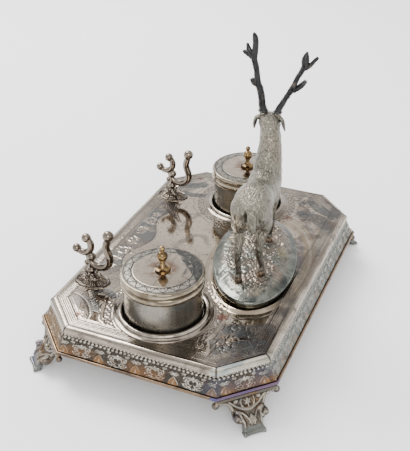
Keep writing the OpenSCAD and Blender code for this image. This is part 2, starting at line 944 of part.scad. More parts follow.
// Each beam starts inside the burr, the ring that sits on the pedicle
burr_h = 1.4;
beam_left = [[26.8, 7.2, 108.2, 3.2], [26.8, 7.3, 109.6, 3.2], [26.6, 8.1, 113, 3.1],
    [26, 8.6, 118.4, 3], [25.2, 9.8, 125.4, 2.9], [24.4, 11.4, 130.2, 2.8],
    [23.4, 12.1, 135.7, 2.5], [22.4, 12.5, 141.1, 2.4], [21.4, 13.4, 146.4, 2.5],
    [20.6, 14, 151.1, 2.6], [19.8, 13.2, 159.3, 2.4], [20, 13.6, 164, 2.4],
    [20.5, 14.4, 167.2, 1.9], [21, 15.2, 169.4, 0.9]];
tines_left = [
    [[24.4, 11.8, 129, 2.2], [24.6, 14.9, 131.1, 2.2], [25, 16.7, 133.6, 1.6]],
    [[20.8, 14.6, 150.4, 2], [21.6, 18, 152.6, 2.1], [22.6, 20.9, 153.7, 1.7], [23.4, 23, 154.5, 1]],
    [[20.6, 15, 151.6, 2], [21.2, 17.9, 155.7, 2.1], [21.8, 19.1, 158.6, 1.6], [22.2, 19.9, 160.9, 0.9]]];
beam_right = [[26.8, -3.6, 108.2, 2.8], [26.8, -3.9, 109.6, 2.8], [26.8, -5, 112, 2.7],
    [26.6, -6.8, 115.2, 2.5], [26.2, -8.5, 118.8, 2.4], [25.6, -11, 123.5, 2.4],
    [24.6, -13.9, 128.6, 2.5], [23.8, -15.6, 132.9, 2.2], [22.8, -17.8, 138.6, 2.1],
    [21.8, -20.4, 143.7, 2.2], [21, -22.3, 148.2, 2.6], [20.6, -22.7, 152.3, 3],
    [20.6, -23.1, 155.7, 2.3], [21, -23.7, 158.9, 0.8]];
tines_right = [
    [[24.6, -14.6, 126.9, 1.9], [25.4, -18.3, 129.8, 2.2], [26.4, -21.1, 132.5, 2.4],
        [27.2, -23.2, 135.2, 1.4]],
    [[21, -22.8, 146.4, 1.9], [21.4, -26.2, 148.9, 1.8], [21.8, -29, 152.2, 1.5],
        [22.2, -31.5, 155.2, 1.3]]];

module antler(base, beam, tines) {
    color(dark)
        at_stag() {
            loft(branch(beam), 2, 10, forward);
            for (t = tines)
                loft(branch(t), 2, 8, forward);
            translate(base)
                cylinder(r = beam[0][3] + 0.5, h = burr_h, $fn = small_fn);
        }
}

module antler_left() {
    antler(pedicle_left, beam_left, tines_left);
}

module antler_right() {
    antler(pedicle_right, beam_right, tines_right);
}

top_plate();
edge_front();
edge_back();
edge_left();
edge_right();
edge_corners();
bead_sides();
bead_corners();
gallery_front();
gallery_back();
gallery_left();
gallery_right();
gallery_corners();
rim_sides();
rim_corners();
foot_front_left();
foot_front_right();
foot_back_left();
foot_back_right();
collar(-1);  // collar_left
collar(1);  // collar_right
pan(-1);  // pan_left
pan(1);  // pan_right
pot(-1);  // pot_left
pot(1);  // pot_right
bezel(-1);  // bezel_left
bezel(1);  // bezel_right
liner(-1);  // liner_left
liner(1);  // liner_right
lid(-1);  // lid_left
lid(1);  // lid_right
lid_band(-1);  // lid_band_left
lid_band(1);  // lid_band_right
finial(-1);  // finial_left
finial(1);  // finial_right
finial_nut(-1);  // finial_nut_left
finial_nut(1);  // finial_nut_right
rosette(-1);  // rosette_left
rosette(1);  // rosette_right
pen_scroll(-1);  // pen_scroll_left
pen_scroll(1);  // pen_scroll_right
rest_nuts();
ground();
ground_nuts();
stag();
antler_left();
antler_right();
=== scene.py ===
import json
import math

import bmesh
import bpy
import numpy as np
from mathutils import Matrix, Vector


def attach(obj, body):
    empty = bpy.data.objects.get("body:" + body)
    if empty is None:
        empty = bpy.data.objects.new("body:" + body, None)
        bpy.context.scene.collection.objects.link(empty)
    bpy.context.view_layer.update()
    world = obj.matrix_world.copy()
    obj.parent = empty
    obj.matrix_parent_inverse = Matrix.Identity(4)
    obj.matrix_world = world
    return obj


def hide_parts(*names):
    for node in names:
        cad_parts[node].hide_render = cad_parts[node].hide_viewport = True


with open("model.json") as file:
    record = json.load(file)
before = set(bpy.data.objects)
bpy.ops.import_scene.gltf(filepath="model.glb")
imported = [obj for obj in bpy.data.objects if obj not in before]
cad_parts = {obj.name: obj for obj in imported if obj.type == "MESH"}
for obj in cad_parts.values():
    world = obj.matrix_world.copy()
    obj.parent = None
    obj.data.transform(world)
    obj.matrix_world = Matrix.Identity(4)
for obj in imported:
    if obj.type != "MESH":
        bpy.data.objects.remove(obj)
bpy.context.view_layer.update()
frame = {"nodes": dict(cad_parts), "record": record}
MM = 0.001

# The same driving sizes as the solids, in millimetres
TRAY_A, TRAY_B, CUT = 128.0, 83.6, 26.2
FOOT_H, DROP, EDGE_R = 24.2, 19.8, 4.0
PLATE_Z = FOOT_H + DROP
EDGE_Z = PLATE_Z - EDGE_R
GALLERY_OUT, RIM_R, BEAD_R = 11.3, 1.1, 1.0
LIP_O = GALLERY_OUT - 2 * RIM_R
NECK_O = EDGE_R - 1.3
LIP_Z = FOOT_H + 2 * RIM_R
NECK_Z = EDGE_Z - 2 * BEAD_R - 0.8
WELL_X, WELL_Y, COLLAR_R = 86.2, -1.0, 36.9
RIM_Z = PLATE_Z + 31.7
REST_X, REST_Y = 73.0, -68.0
GROUND_AT, GROUND_TURN, GROUND_A, GROUND_B, GROUND_H = (2.0, 39.5), 13.4, 62.5, 33.0, 10.4
BOSS_AT, BOSS_TURN, BOSS_A, BOSS_B, BOSS_H = (-2.0, 43.0), 6.0, 66.5, 36.4, 1.6
STAG_AT, STAG_TURN = (1.6, 42.5), 7.0

# How bright all the metal is beside the floor, and the colour of fine spots
METAL = 0.62
DARK = (0.06, 0.055, 0.05)


class Nodes:
    """One material's node tree, in the object's own coordinates in metres."""
    def __init__(self, name):
        self.mat = bpy.data.materials.new(name)
        self.mat.use_nodes = True
        self.t = self.mat.node_tree
        self.t.nodes.clear()
        out = self.node("OutputMaterial")
        self.p = self.node("BsdfPrincipled")
        self.t.links.new(self.p.outputs[0], out.inputs[0])
        self.coord = self.node("TexCoord").outputs["Object"]

    def node(self, kind):
        return self.t.nodes.new("ShaderNode" + kind)

    def put(self, socket, value):
        if isinstance(value, bpy.types.NodeSocket):
            self.t.links.new(value, socket)
        elif hasattr(value, "__len__") and len(socket.default_value) == 4:
            socket.default_value = (*value, 1)
        else:
            socket.default_value = value

    def math(self, op, *values):
        n = self.node("Math")
        n.operation = op
        for s, v in zip(n.inputs, values):
            self.put(s, v)
        return n.outputs[0]

    def chain(self, op, values):
        out = values[0]
        for v in values[1:]:
            out = self.math(op, out, v)
        return out

    def mul(self, *values):
        return self.chain("MULTIPLY", values)

    def add(self, *values):
        return self.chain("ADD", values)

    def max(self, *values):
        return self.chain("MAXIMUM", values)

    def sub(self, a, b):
        return self.math("SUBTRACT", a, b)

    def abs(self, a):
        return self.math("ABSOLUTE", a)

    def noise(self, scale, detail=3, rough=0.6, distort=0.0):
        """Noise at one scale, or at a scale for each axis."""
        n = self.node("TexNoise")
        where = self.coord
        if isinstance(scale, tuple):
            stretch = self.node("Mapping")
            self.put(stretch.inputs["Vector"], where)
            self.put(stretch.inputs["Scale"], scale)
            where, scale = stretch.outputs[0], 1.0
        values = (where, scale, detail, rough, distort)
        for k, v in zip(("Vector", "Scale", "Detail", "Roughness", "Distortion"), values):
            self.put(n.inputs[k], v)
        return n.outputs["Fac"]

    def step(self, fac, lo, hi, a=0.0, b=1.0):
        """From a to b as the value goes from lo to hi."""
        n = self.node("MapRange")
        n.interpolation_type = "SMOOTHSTEP"
        for k, v in zip(("Value", "From Min", "From Max", "To Min", "To Max"), (fac, lo, hi, a, b)):
            self.put(n.inputs[k], v)
        return n.outputs[0]

    def mix(self, fac, a, b, mode="MIX"):
        n = self.node("Mix")
        n.data_type, n.blend_type = "RGBA", mode
        for k, v in (("Factor", fac), (6, a), (7, b)):
            self.put(n.inputs[k], v)
        return n.outputs[2]

    def tone(self, col, over, *share):
        """A colour laid over another by a share, or the product of several."""
        return self.mix(self.mul(*share), col, over)

    def attr(self, name):
        n = self.node("Attribute")
        n.attribute_name = name
        return n.outputs["Fac"]

    def xyz(self):
        n = self.node("SeparateXYZ")
        self.put(n.inputs[0], self.coord)
        return n.outputs[0], n.outputs[1], n.outputs[2]

    def bump(self, height, strength, dist):
        n = self.node("Bump")
        for k, v in (("Strength", strength), ("Distance", dist), ("Height", height)):
            self.put(n.inputs[k], v)
        return n.outputs[0]

    def finish(self, colour, rough, normal=None, metallic=1.0):
        if metallic:
            colour = self.mix(1.0, colour, (METAL, METAL, METAL), "MULTIPLY")
        for k, v in (("Base Color", colour), ("Roughness", rough), ("Metallic", metallic)):
            self.put(self.p.inputs[k], v)
        if normal:
            self.put(self.p.inputs["Normal"], normal)
        return self.mat


def polished(name, base, tarnish, amount=0.5, rough=(0.12, 0.32), scale=60, spots=True, extra=None):
    """Plated metal with clouds of tarnish, fine spots and a soft ripple."""
    n = Nodes(name)
    big = n.noise(scale, 4, distort=0.6)
    fine = n.noise(scale * 9)
    t = n.step(big, 0.62 - 0.3 * amount, 0.78 - 0.2 * amount)
    col = n.mix(t, base, tarnish)
    if spots:
        s = n.step(n.noise(scale * 14, 2, 0.5), 0.62, 0.7)
        col = n.tone(col, DARK, s, 0.6)
    if extra:
        col = extra(n, col)
    r = n.add(n.mul(t, rough[1] - rough[0]), rough[0])
    r = n.add(r, n.mul(n.sub(fine, 0.5), 0.08))
    h = n.add(big, n.mul(fine, 0.12))
    return n.finish(col, r, n.bump(h, 0.12, 0.0012))


def near_cant(n):
    """1 along the cant corner beside the near foot, 0 elsewhere."""
    x, y = n.xyz()[:2]
    return n.step(n.add(x, y), 0.1835, 0.1865)


def edge_colour(n, col):
    """Brown streaks along the moulding, painted shade low on it, dark mitres, and a painted highlight on one
    cant.
    """
    x, y, z = n.xyz()
    streak = n.step(n.noise((22, 22, 420)), 0.42, 0.62)
    col = n.tone(col, (0.17, 0.135, 0.11), streak, 0.7)
    # Painted shade on the lower half of the moulding
    low = n.step(z, 0.0420, 0.0405)
    col = n.tone(col, (0.2, 0.16, 0.13), low, 0.45)
    # Painted highlight: near-white colour along the near cant
    bright = n.mul(near_cant(n), n.step(n.noise(90), 0.34, 0.56, 1.0, 0.5))
    col = n.tone(col, (0.8, 0.78, 0.64), bright)
    blue = n.mul(near_cant(n), n.step(n.noise((60, 60, 300), 2, 0.5), 0.5, 0.6))
    col = n.tone(col, (0.34, 0.42, 0.46), blue, 0.7)
    ax, ay = n.abs(x), n.abs(y)
    gap = None
    for cx, cy, deg in ((TRAY_A, TRAY_B - CUT, 22.5), (TRAY_A - CUT, TRAY_B, 67.5)):
        u = n.mul(n.sub(ax, cx * MM), -math.sin(math.radians(deg)))
        v = n.mul(n.sub(ay, cy * MM), math.cos(math.radians(deg)))
        d = n.abs(n.add(u, v))
        gap = d if gap is None else n.math("MINIMUM", gap, d)
    return n.tone(col, (0.06, 0.05, 0.045), n.step(gap, 0.0004, 0.0011, 0.85, 0.0))


def rim_colour(n, col):
    """Brown wire, blue and violet on the cant beside the near foot."""
    x, y = n.xyz()[:2]
    dark = n.step(n.noise((26, 26, 300)), 0.46, 0.6)
    col = n.tone(col, (0.15, 0.11, 0.085), dark, 0.7)
    tint = n.mix(n.step(n.noise(34, 2, 0.5), 0.42, 0.58), (0.12, 0.15, 0.38), (0.21, 0.13, 0.27))
    return n.tone(col, tint, n.step(n.add(x, y), 0.195, 0.198), 0.7)


def pot_reflections_and_tint(n, col):
    """Painted dark reflections: broad dark bands that run up the wall, and a warm tint."""
    band = n.step(n.noise((55, 55, 9)), 0.4, 0.62)
    col = n.tone(col, (0.105, 0.11, 0.105), band, 0.65)
    warm = n.mul(n.step(n.noise((40, 40, 14), 2, 0.5), 0.5, 0.65), 0.5)
    return n.tone(col, (0.33, 0.27, 0.19), warm)


def band_colour(n, col):
    """Mouldings of pots and lids: streaked gold and dark brown."""
    streak = n.step(n.noise((45, 45, 500)), 0.42, 0.6)
    return n.tone(col, (0.12, 0.095, 0.07), streak, 0.75)


def lid_material(side):
    n = Nodes("lid_engraved_" + side)
    x, y, z = n.xyz()
    cx = (WELL_X if side == "right" else -WELL_X) * MM
    dx, dy = n.sub(x, cx), n.sub(y, WELL_Y * MM)
    r = n.mul(n.math("SQRT", n.add(n.mul(dx, dx), n.mul(dy, dy))), 1000)
    a = n.math("ARCTAN2", dy, dx)

    def ring(r0, w):
        return n.step(n.abs(n.sub(r, r0)), w, w + 0.2, 1.0, 0.0)

    def wave(k, phase=0.0):
        return n.math("SINE", n.add(n.mul(a, k), phase))

    lines = n.max(ring(28.0, 0.35), ring(22.4, 0.4), ring(21.3, 0.2))
    leaf = n.abs(n.sub(r, n.add(25.2, n.mul(wave(17), 1.9))))
    leaf = n.step(leaf, 0.4, 0.75, 1.0, 0.0)
    dots = n.mul(n.step(wave(120), 0.1, 0.6), ring(26.9, 0.5))
    frets = n.mul(n.step(wave(64, 1.0), 0.2, 0.7), ring(23.7, 0.7))
    marks = n.max(lines, leaf, dots, frets)
    band = n.step(r, 21.2, 21.9)
    inside = n.mul(marks, band)
    big = n.noise(70, 4, distort=0.8)
    fine = n.noise(700)
    col = n.mix(n.step(big, 0.42, 0.66), (0.62, 0.53, 0.43), (0.46, 0.38, 0.3))
    scatter = n.mul(n.step(n.noise(330), 0.54, 0.64), n.step(big, 0.35, 0.6, 0.3, 0.8))
    col = n.tone(col, (0.2, 0.17, 0.14), scatter, 0.55)
    col = n.tone(col, (0.27, 0.27, 0.24), band, 0.65)
    near = n.mul(n.step(r, 7.0, 14.0, 1.0, 0.0), n.step(n.noise(170), 0.4, 0.56))
    col = n.tone(col, (0.26, 0.13, 0.085), near, 0.85)
    # Dark streaks over the top: painted reflections
    streak = n.step(n.noise((30, 150, 60), distort=1.2), 0.6, 0.68)
    if side == "right":
        # A painted dark reflection: a strip that crosses the near lid
        u = n.add(n.mul(dx, 0.707), n.mul(dy, -0.707))
        u = n.add(n.mul(u, 1000), n.mul(n.sub(n.noise(160), 0.5), 5))
        painted_reflection_strip = n.mul(n.step(u, -16.5, -17.5), n.step(u, -30, -28.5))
        streak = n.max(n.mul(painted_reflection_strip, n.step(n.noise(420), 0.36, 0.5, 0.6, 1.2)), streak)
    col = n.tone(col, (0.07, 0.07, 0.068), streak, 0.85)
    col = n.tone(col, (0.04, 0.037, 0.033), inside, 0.95)
    rough = n.add(0.14, n.mul(n.max(band, streak), 0.14))
    side_wall = n.step(z, (RIM_Z + 4.4) * MM, (RIM_Z + 5.0) * MM, 1.0, 0.0)
    col = n.tone(col, (0.34, 0.3, 0.24), side_wall)
    h = n.sub(n.mul(fine, 0.15), inside)
    return n.finish(col, rough, n.bump(h, 0.5, 0.00025))


mats = {
    "silver_plate": polished("plate_silver", (0.54, 0.46, 0.38), (0.24, 0.22, 0.20), 0.4, (0.10, 0.3)),
    "gallery_plate": polished("gallery_back", (0.22, 0.19, 0.16), (0.09, 0.08, 0.07), 0.6, (0.3, 0.5)),
    "edge_plate": polished("edge_silver", (0.66, 0.58, 0.48), (0.26, 0.22, 0.18), 0.45, (0.10, 0.26), 45,
                           extra=edge_colour),
    "worn_copper": polished("rim_copper", (0.36, 0.245, 0.16), (0.14, 0.10, 0.075), 0.6, (0.16, 0.34), 60,
                            extra=rim_colour),
    "foot_plate": polished("foot_dark", (0.34, 0.30, 0.25), (0.10, 0.09, 0.08), 0.6, (0.25, 0.45), 110),
    "pot_plate": polished("pot_silver", (0.36, 0.34, 0.30), (0.22, 0.215, 0.19), 0.5, (0.26, 0.38), 35,
                          extra=pot_reflections_and_tint),
    "worn_gold": polished("band_gold", (0.54, 0.46, 0.34), (0.28, 0.22, 0.15), 0.5, (0.10, 0.24), 70,
                           extra=band_colour),
    "finial_gold": polished("finial_gold", (0.36, 0.24, 0.11), (0.11, 0.07, 0.035), 0.8, (0.05, 0.14), 130),
    "rest_plate": polished("rest_silver", (0.48, 0.41, 0.34), (0.12, 0.10, 0.09), 0.5, (0.12, 0.3), 120),
    "ground_dark": polished("ground_dark", (0.28, 0.29, 0.26), (0.10, 0.11, 0.10), 0.5, (0.2, 0.4), 50),
    "stag_plate": polished("stag_silver", (0.42, 0.39, 0.33), (0.16, 0.15, 0.13), 0.5, (0.3, 0.5), 80),
    "antler_dark": polished("antler_dark", (0.10, 0.10, 0.10), (0.04, 0.04, 0.04), 0.5, (0.35, 0.5), 90),
    "brass_nut": polished("nut_brass", (0.55, 0.42, 0.22), (0.25, 0.18, 0.10), 0.5, (0.25, 0.4), 200),
}
glass = Nodes("liner_glass")
glass.p.inputs["Transmission Weight"].default_value = 1.0
glass.p.inputs["IOR"].default_value = 1.5
glass_rough = glass.step(glass.noise(90, 3, 0.55), 0.3, 0.8, 0.02, 0.12)
mats["clear_glass"] = glass.finish((0.86, 0.93, 0.91), glass_rough, None, 0.0)

slot_of = {s["node"]: s["material_slot"] for s in frame["record"]["subparts"]}
for name, obj in frame["nodes"].items():
    m = mats.get(slot_of[name])
    if name in ("lid_left", "lid_right"):
        m = lid_material(name[4:])
    if m:
        if not obj.material_slots:
            obj.data.materials.append(m)
        for s in obj.material_slots:
            s.material = m


# Mesh helpers, all in millimetres
def make(name, verts, faces, mat, attrs=None):
    """A piece of the tray from its points and faces, with values at its points."""
    v = np.asarray(verts, float).reshape(-1, 3) * MM
    me = bpy.data.meshes.new(name)
    me.from_pydata(v.tolist(), [], faces.tolist() if isinstance(faces, np.ndarray) else faces)
    o = bpy.data.objects.new(name, me)
    bpy.context.collection.objects.link(o)
    for key, val in (attrs or {}).items():
        attribute(o, key, val)
    return finish_piece(o, mat)


def finish_piece(o, mat):
    o.data.materials.clear()
    o.data.materials.append(mat)
    o.data.polygons.foreach_set("use_smooth", [True] * len(o.data.polygons))
    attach(o, "tray")
    return o


def attribute(o, key, val):
    a = o.data.attributes.new(key, "FLOAT", "POINT")
    a.data.foreach_set("value", np.asarray(val, np.float32).ravel())


def points(x, y, z):
    return np.stack(np.broadcast_arrays(x, y, z), -1)


def turn(x, y, deg):
    c, s = math.cos(math.radians(deg)), math.sin(math.radians(deg))
    return x * c - y * s, x * s + y * c


def grid_faces(nu, nv, wrap_u=False, wrap_v=False):
    rows, columns = np.arange(nu if wrap_u else nu - 1), np.arange(nv if wrap_v else nv - 1)
    i, j = np.meshgrid(rows, columns, indexing="ij")
    k, m = (i + 1) % nu, (j + 1) % nv
    return np.stack([i * nv + j, k * nv + j, k * nv + m, i * nv + m], -1).reshape(-1, 4)


def closed(m, n):
    """Faces of m rings of n points, with a face over each end."""
    return grid_faces(m, n, wrap_v=True).tolist() + [list(range(n)), list(range((m - 1) * n, m * n))[::-1]]


def around(n):
    return 2 * np.pi * np.arange(n) / n


def catmull(stations, k):
    """A smooth line through the stations, k steps between each two."""
    p = np.asarray(stations, float)
    q = np.vstack([p[0], p, p[-1]])
    out = []
    for a, b, c, d in zip(q, q[1:], q[2:], q[3:]):
        for t in np.arange(k) / k:
            bend = (2 * a - 5 * b + 4 * c - d) * t * t + (3 * b - a - 3 * c + d) * t ** 3
            out.append((2 * b + (c - a) * t + bend) / 2)
    return np.array(out + [p[-1]])


def loft(stations, k=3, n=24, side=(0, 1, 0)):
    """A closed form through ovals: each station is a centre and two half widths."""
    s = catmull(stations, k)
    c = s[:, :3]
    d = np.gradient(c, axis=0)
    d /= np.linalg.norm(d, axis=1)[:, None]
    up = np.cross(d, side)
    up /= np.linalg.norm(up, axis=1)[:, None]
    t = around(n)
    across = np.cross(up, d)[:, None] * (s[:, 3, None] * np.cos(t))[..., None]
    rings = c[:, None] + across + up[:, None] * (s[:, 4, None] * np.sin(t))[..., None]
    return rings.reshape(-1, 3), closed(len(s), n)


def tube(route, radii, k, n, side=(1, 0, 0)):
    return loft([[*p, r, r] for p, r in zip(route, radii)], k, n, side)


def ball(c, r, n=14, squash=1.0):
    a = np.linspace(0, np.pi, n)[1:-1, None]
    b = around(2 * n)
    rings = points(np.sin(a) * np.cos(b), np.sin(a) * np.sin(b), squash * np.cos(a)).reshape(-1, 3)
    v = np.vstack([rings, [[0, 0, squash], [0, 0, -squash]]]) * r + c
    top, low = len(rings), len(rings) - 2 * n
    faces = grid_faces(n - 2, 2 * n, wrap_v=True).tolist()
    for j in range(2 * n):
        k = (j + 1) % (2 * n)
        faces += [[top, j, k], [low + j, top + 1, low + k]]
    return v, faces


def lathe(profile, n=32, ripple=0.0, waves=0):
    p = np.asarray(profile, float)
    r = p[:, 0, None] * (1 + ripple * np.sin(waves * around(n)))
    v = points(r * np.cos(around(n)), r * np.sin(around(n)), p[:, 1, None])
    return v.reshape(-1, 3), closed(len(p), n)


def join(parts):
    verts, faces, base = [], [], 0
    for v, f in parts:
        verts.append(v)
        faces += [[i + base for i in q] for q in f]
        base += len(v)
    return np.vstack(verts), faces


def fused(name, parts, voxel, smooth):
    """Closed forms joined into one skin by remeshing, then evened."""
    v, f = join(parts)
    me = bpy.data.meshes.new(name)
    me.from_pydata((v * MM).tolist(), [], f)
    bm = bmesh.new()
    bm.from_mesh(me)
    bmesh.ops.recalc_face_normals(bm, faces=bm.faces)
    bm.to_mesh(me)
    bm.free()
    o = bpy.data.objects.new(name, me)
    bpy.context.collection.objects.link(o)
    r = o.modifiers.new("remesh", "REMESH")
    r.mode, r.voxel_size, r.adaptivity = "VOXEL", voxel * MM, 0
    s = o.modifiers.new("smooth", "SMOOTH")
    s.factor, s.iterations = 0.5, smooth
    new = bpy.data.meshes.new_from_object(o.evaluated_get(bpy.context.evaluated_depsgraph_get()))
    o.modifiers.clear()
    o.data = new
    return o


def coords(o):
    v = np.empty(len(o.data.vertices) * 3)
    o.data.vertices.foreach_get("co", v)
    return v.reshape(-1, 3) / MM


def normals(o):
    v = np.empty(len(o.data.vertices) * 3)
    o.data.vertex_normals.foreach_get("vector", v)
    return v.reshape(-1, 3)


def move(o, v):
    o.data.vertices.foreach_set("co", (v * MM).ravel())
    o.data.update()


def placed(o, x, y, z, deg):
    v = coords(o)
    u, w = turn(v[:, 0], v[:, 1], deg)
    move(o, points(u + x, w + y, v[:, 2] + z))
    return o


def twin(o, name):
    c = o.copy()
    c.data = o.data.copy()
    c.name = name
    bpy.context.collection.objects.link(c)
    return c


def smoothstep(a, b, x):
    t = np.clip((x - a) / (b - a), 0, 1)
    return t * t * (3 - 2 * t)


def hump(x, at, width):
    return np.exp(-((x - at) / width) ** 2)


class Noise:
    """Seeded smooth lattice noise, the same each run."""
    def __init__(self, seed):
        self.g = np.random.RandomState(seed).rand(64, 64, 64)

    def one(self, p):
        i = np.floor(p).astype(int)
        f = p - i
        f = f * f * (3 - 2 * f)
        i %= 64
        k = (i + 1) % 64
        sides = [(i[..., axis], k[..., axis]) for axis in range(3)]
        corners = [self.g[a, b, c] for a in sides[0] for b in sides[1] for c in sides[2]]
        for axis in (2, 1, 0):
            share = f[..., axis]
            corners = [a * (1 - share) + b * share for a, b in zip(corners[::2], corners[1::2])]
        return corners[0]

    def __call__(self, x, y, z, octaves=2):
        p = points(x, y, z)
        parts = [0.5 ** o * self.one(p * 2 ** o + 17.3 * o) for o in range(octaves)]
        return sum(parts) / sum(0.5 ** o for o in range(octaves))


noise = Noise(5)


# Ornament, as strokes
class Sheet:
    """Layers over a flat rectangle in millimetres, sampled onto a mesh later."""
    def __init__(self, w, h, step, layers, relief):
        self.w, self.h, self.step, self.relief = w, h, step, relief
        self.nx, self.ny = int(w / step) + 1, int(h / step) + 1
        self.x = np.arange(self.nx) * step - w / 2
        self.y = np.arange(self.ny) * step - h / 2
        self.layer = {k: np.zeros((self.ny, self.nx)) for k in layers}
        self.X, self.Y = np.meshgrid(self.x, self.y)

    def draw(self, layer, *values):
        for v in values:
            np.maximum(self.layer[layer], v, out=self.layer[layer])

    def stroke(self, layer, line, widths, value=1.0, cut=False):
        """A line of changing half width, rounded in relief or flat, drawn or cut out."""
        line = np.asarray(line, float)
        widths = np.broadcast_to(np.asarray(widths, float), (len(line),))
        for a, b, wa, wb in zip(line[:-1], line[1:], widths[:-1], widths[1:]):
            m = max(wa, wb) + self.step
            lo = ((np.minimum(a, b) - m + (self.w / 2, self.h / 2)) / self.step).astype(int)
            hi = ((np.maximum(a, b) + m + (self.w / 2, self.h / 2)) / self.step).astype(int) + 2
            part = (slice(max(lo[1], 0), max(hi[1], 0)), slice(max(lo[0], 0), max(hi[0], 0)))
            x, y = self.X[part], self.Y[part]
            d = b - a
            t = np.clip(((x - a[0]) * d[0] + (y - a[1]) * d[1]) / max(d @ d, 1e-9), 0, 1)
            dist = np.hypot(x - a[0] - t * d[0], y - a[1] - t * d[1])
            w = wa + (wb - wa) * t
            if self.relief:
                shape = np.sqrt(np.clip(1 - (dist / np.maximum(w, 1e-3)) ** 2, 0, 1))
            else:
                shape = np.clip((w - dist) / self.step + 0.5, 0, 1)
            old = self.layer[layer][part]
            old[:] = np.minimum(old, 1 - value * shape) if cut else np.maximum(old, value * shape)

    def both(self, layer, line, widths, value=1.0):
        for sx in (-1, 1):
            self.stroke(layer, np.asarray(line, float) * (sx, 1), widths, value)

    def petals(self, at, r, width, value):
        for k in range(6):
            line, w = leaf(at, 60 * k + 30, r, 0.2, 7)
            self.stroke("high", line, w * width + 0.1, value)

    def sample(self, layer, x, y):
        u = np.clip((np.asarray(x) + self.w / 2) / self.step, 0, self.nx - 1.001)
        v = np.clip((np.asarray(y) + self.h / 2) / self.step, 0, self.ny - 1.001)
        i, j = u.astype(int), v.astype(int)
        a, b = u - i, v - j
        L = self.layer[layer]
        low = L[j, i] * (1 - a) + L[j, i + 1] * a
        high = L[j + 1, i] * (1 - a) + L[j + 1, i + 1] * a
        return low * (1 - b) + high * b


def spiral(at, ang, size, hand=1, turns=1.25, n=26):
    """A C scroll that starts at a point and winds in."""
    t = np.linspace(0, 1, n)
    start = math.radians(ang)
    th = start + hand * t * turns * 2 * np.pi
    r = size * (1 - 0.82 * t ** 0.8)
    x, y = at[0] - size * math.cos(start), at[1] - size * math.sin(start)
    return np.stack([x + r * np.cos(th), y + r * np.sin(th)], -1)


def leaf(at, ang, length, bend=0.3, n=10):
    """The middle line of a leaf, and its half width as a share."""
    t = np.linspace(0, 1, n)
    a = math.radians(ang) + bend * t
    line = np.cumsum(np.stack([np.cos(a), np.sin(a)], -1) * length / (n - 1), axis=0)
    return np.array(at) + line - line[0], np.sin(np.pi * np.clip(t * 0.92 + 0.08, 0, 1)) ** 0.8


def heading(line, k):
    """The direction of a line at one of its points, in degrees."""
    d = line[k + 1] - line[k]
    return math.degrees(math.atan2(d[1], d[0]))


# Tray outline
def side_line(i, o):
    """The ends of side i of the tray, moved out by o."""
    a, b, c = TRAY_A + o, TRAY_B + o, CUT + o * (2 - math.sqrt(2))
    p = np.array([[-a + c, -b], [a - c, -b], [a, -b + c], [a, b - c],
                  [a - c, b], [-a + c, b], [-a, b - c], [-a, -b + c]])
    return p[i], p[(i + 1) % 8]


def from_oval(x, y, at, deg, a, b):
    """How far outside an oval a point lies, as a share of the oval."""
    u, v = turn(x - at[0], y - at[1], -deg)
    return np.hypot(u / a, v / b) - 1


def from_boss(x, y):
    """How far outside the boss a point lies, in millimetres at its mean half size of 45."""
    return 45 * from_oval(x, y, BOSS_AT, BOSS_TURN, BOSS_A, BOSS_B)


def from_well(x, y, sx):
    return np.hypot(x - sx * WELL_X, y - WELL_Y)


# Engraved plate
# Patches of dark film on the right half: route, half widths and how dark
PATCHES = (([[92, -71], [98, -58], [102, -50]], [3.4, 5.0, 4.2], 0.9),
           ([[96, -72], [102, -66]], [2.6, 3.2], 0.85),
           ([[84, -61], [81, -52], [84, -43]], [2.6, 3.6, 3.2], 0.95),
           ([[88, 52], [84, 66], [74, 76]], [6, 8, 5], 0.85),
           ([[106, 62], [98, 70], [90, 77]], [3, 5, 2.5], 0.95),
           ([[104, 44], [112, 50]], [2, 3.4], 0.7))
# Scrolls on the right half: place, start angle, size and hand
FRONT_SCROLLS = ((3, -68.6, 180, 5.2, -1), (21, -66.6, 180, 5.5, 1), (29, -63.6, 0, 5.0, 1),
                 (46, -67.6, 180, 4.6, -1))
BACK_SCROLLS = ((96, 52, 200, 9, 1), (104, 60, 20, 6.5, -1), (84, 62, 90, 7, 1), (112, 46, 300, 6, -1),
                (76, 69, 150, 5, -1), (92, 70, 40, 4.5, 1), (110, 33, 260, 5.5, 1))


def scroll(s, sx, x, y, ang, size, hand, light, lobes):
    """A scroll with side lobes: light on a dark ground, or engraved."""
    hand *= sx
    line = spiral((sx * x, y), ang if sx > 0 else 180 - ang, size, hand, 1.2)
    if light:
        s.stroke("film", line, np.linspace(0.11, 0.035, len(line)) * size + 0.35, cut=True)
    s.stroke("cut", line, 0.3, 0.9)
    for k in range(lobes):
        d = line[3 + k * 2] - line[1 + k * 2]
        base = math.degrees(math.atan2(d[1], d[0])) - hand * 58
        lobe, w = leaf(line[2 + k * 2], base, size * (0.62 - 0.05 * k), 0.7 * hand)
        if light:
            s.stroke("film", lobe, w * size * 0.13 + 0.15, cut=True)
        else:
            s.stroke("film", lobe, w * size * 0.12, 0.75)
        s.stroke("cut", lobe, 0.24, 0.9)


def flower(s, x, y, r, light):
    for k in range(6):
        petal, w = leaf((x, y), 60 * k + 12, r, 0.25)
        if light:
            s.stroke("film", petal, w * r * 0.22, cut=True)
        else:
            s.stroke("red", petal, w * r * 0.2, 0.8)
        s.stroke("cut", petal, 0.22, 0.9)
    s.stroke("cut", [(x, y), (x + 0.01, y)], 0.7)


def fern(s, sx):
    """Leaves along both sides of a stem beside the rosette."""
    for t in np.arange(13) / 12:
        for h in (-1, 1):
            at = (sx * (86 + 20 * t), 19 + 16 * t - TRAY_B)
            line, w = leaf(at, (38 if sx > 0 else 142) + h * 62, 6.5 * (1 - 0.6 * t) + 1.5, -0.5 * h * sx)
            s.stroke("film", line, w * 0.75, 0.85)
            s.stroke("cut", line, 0.2, 0.9)


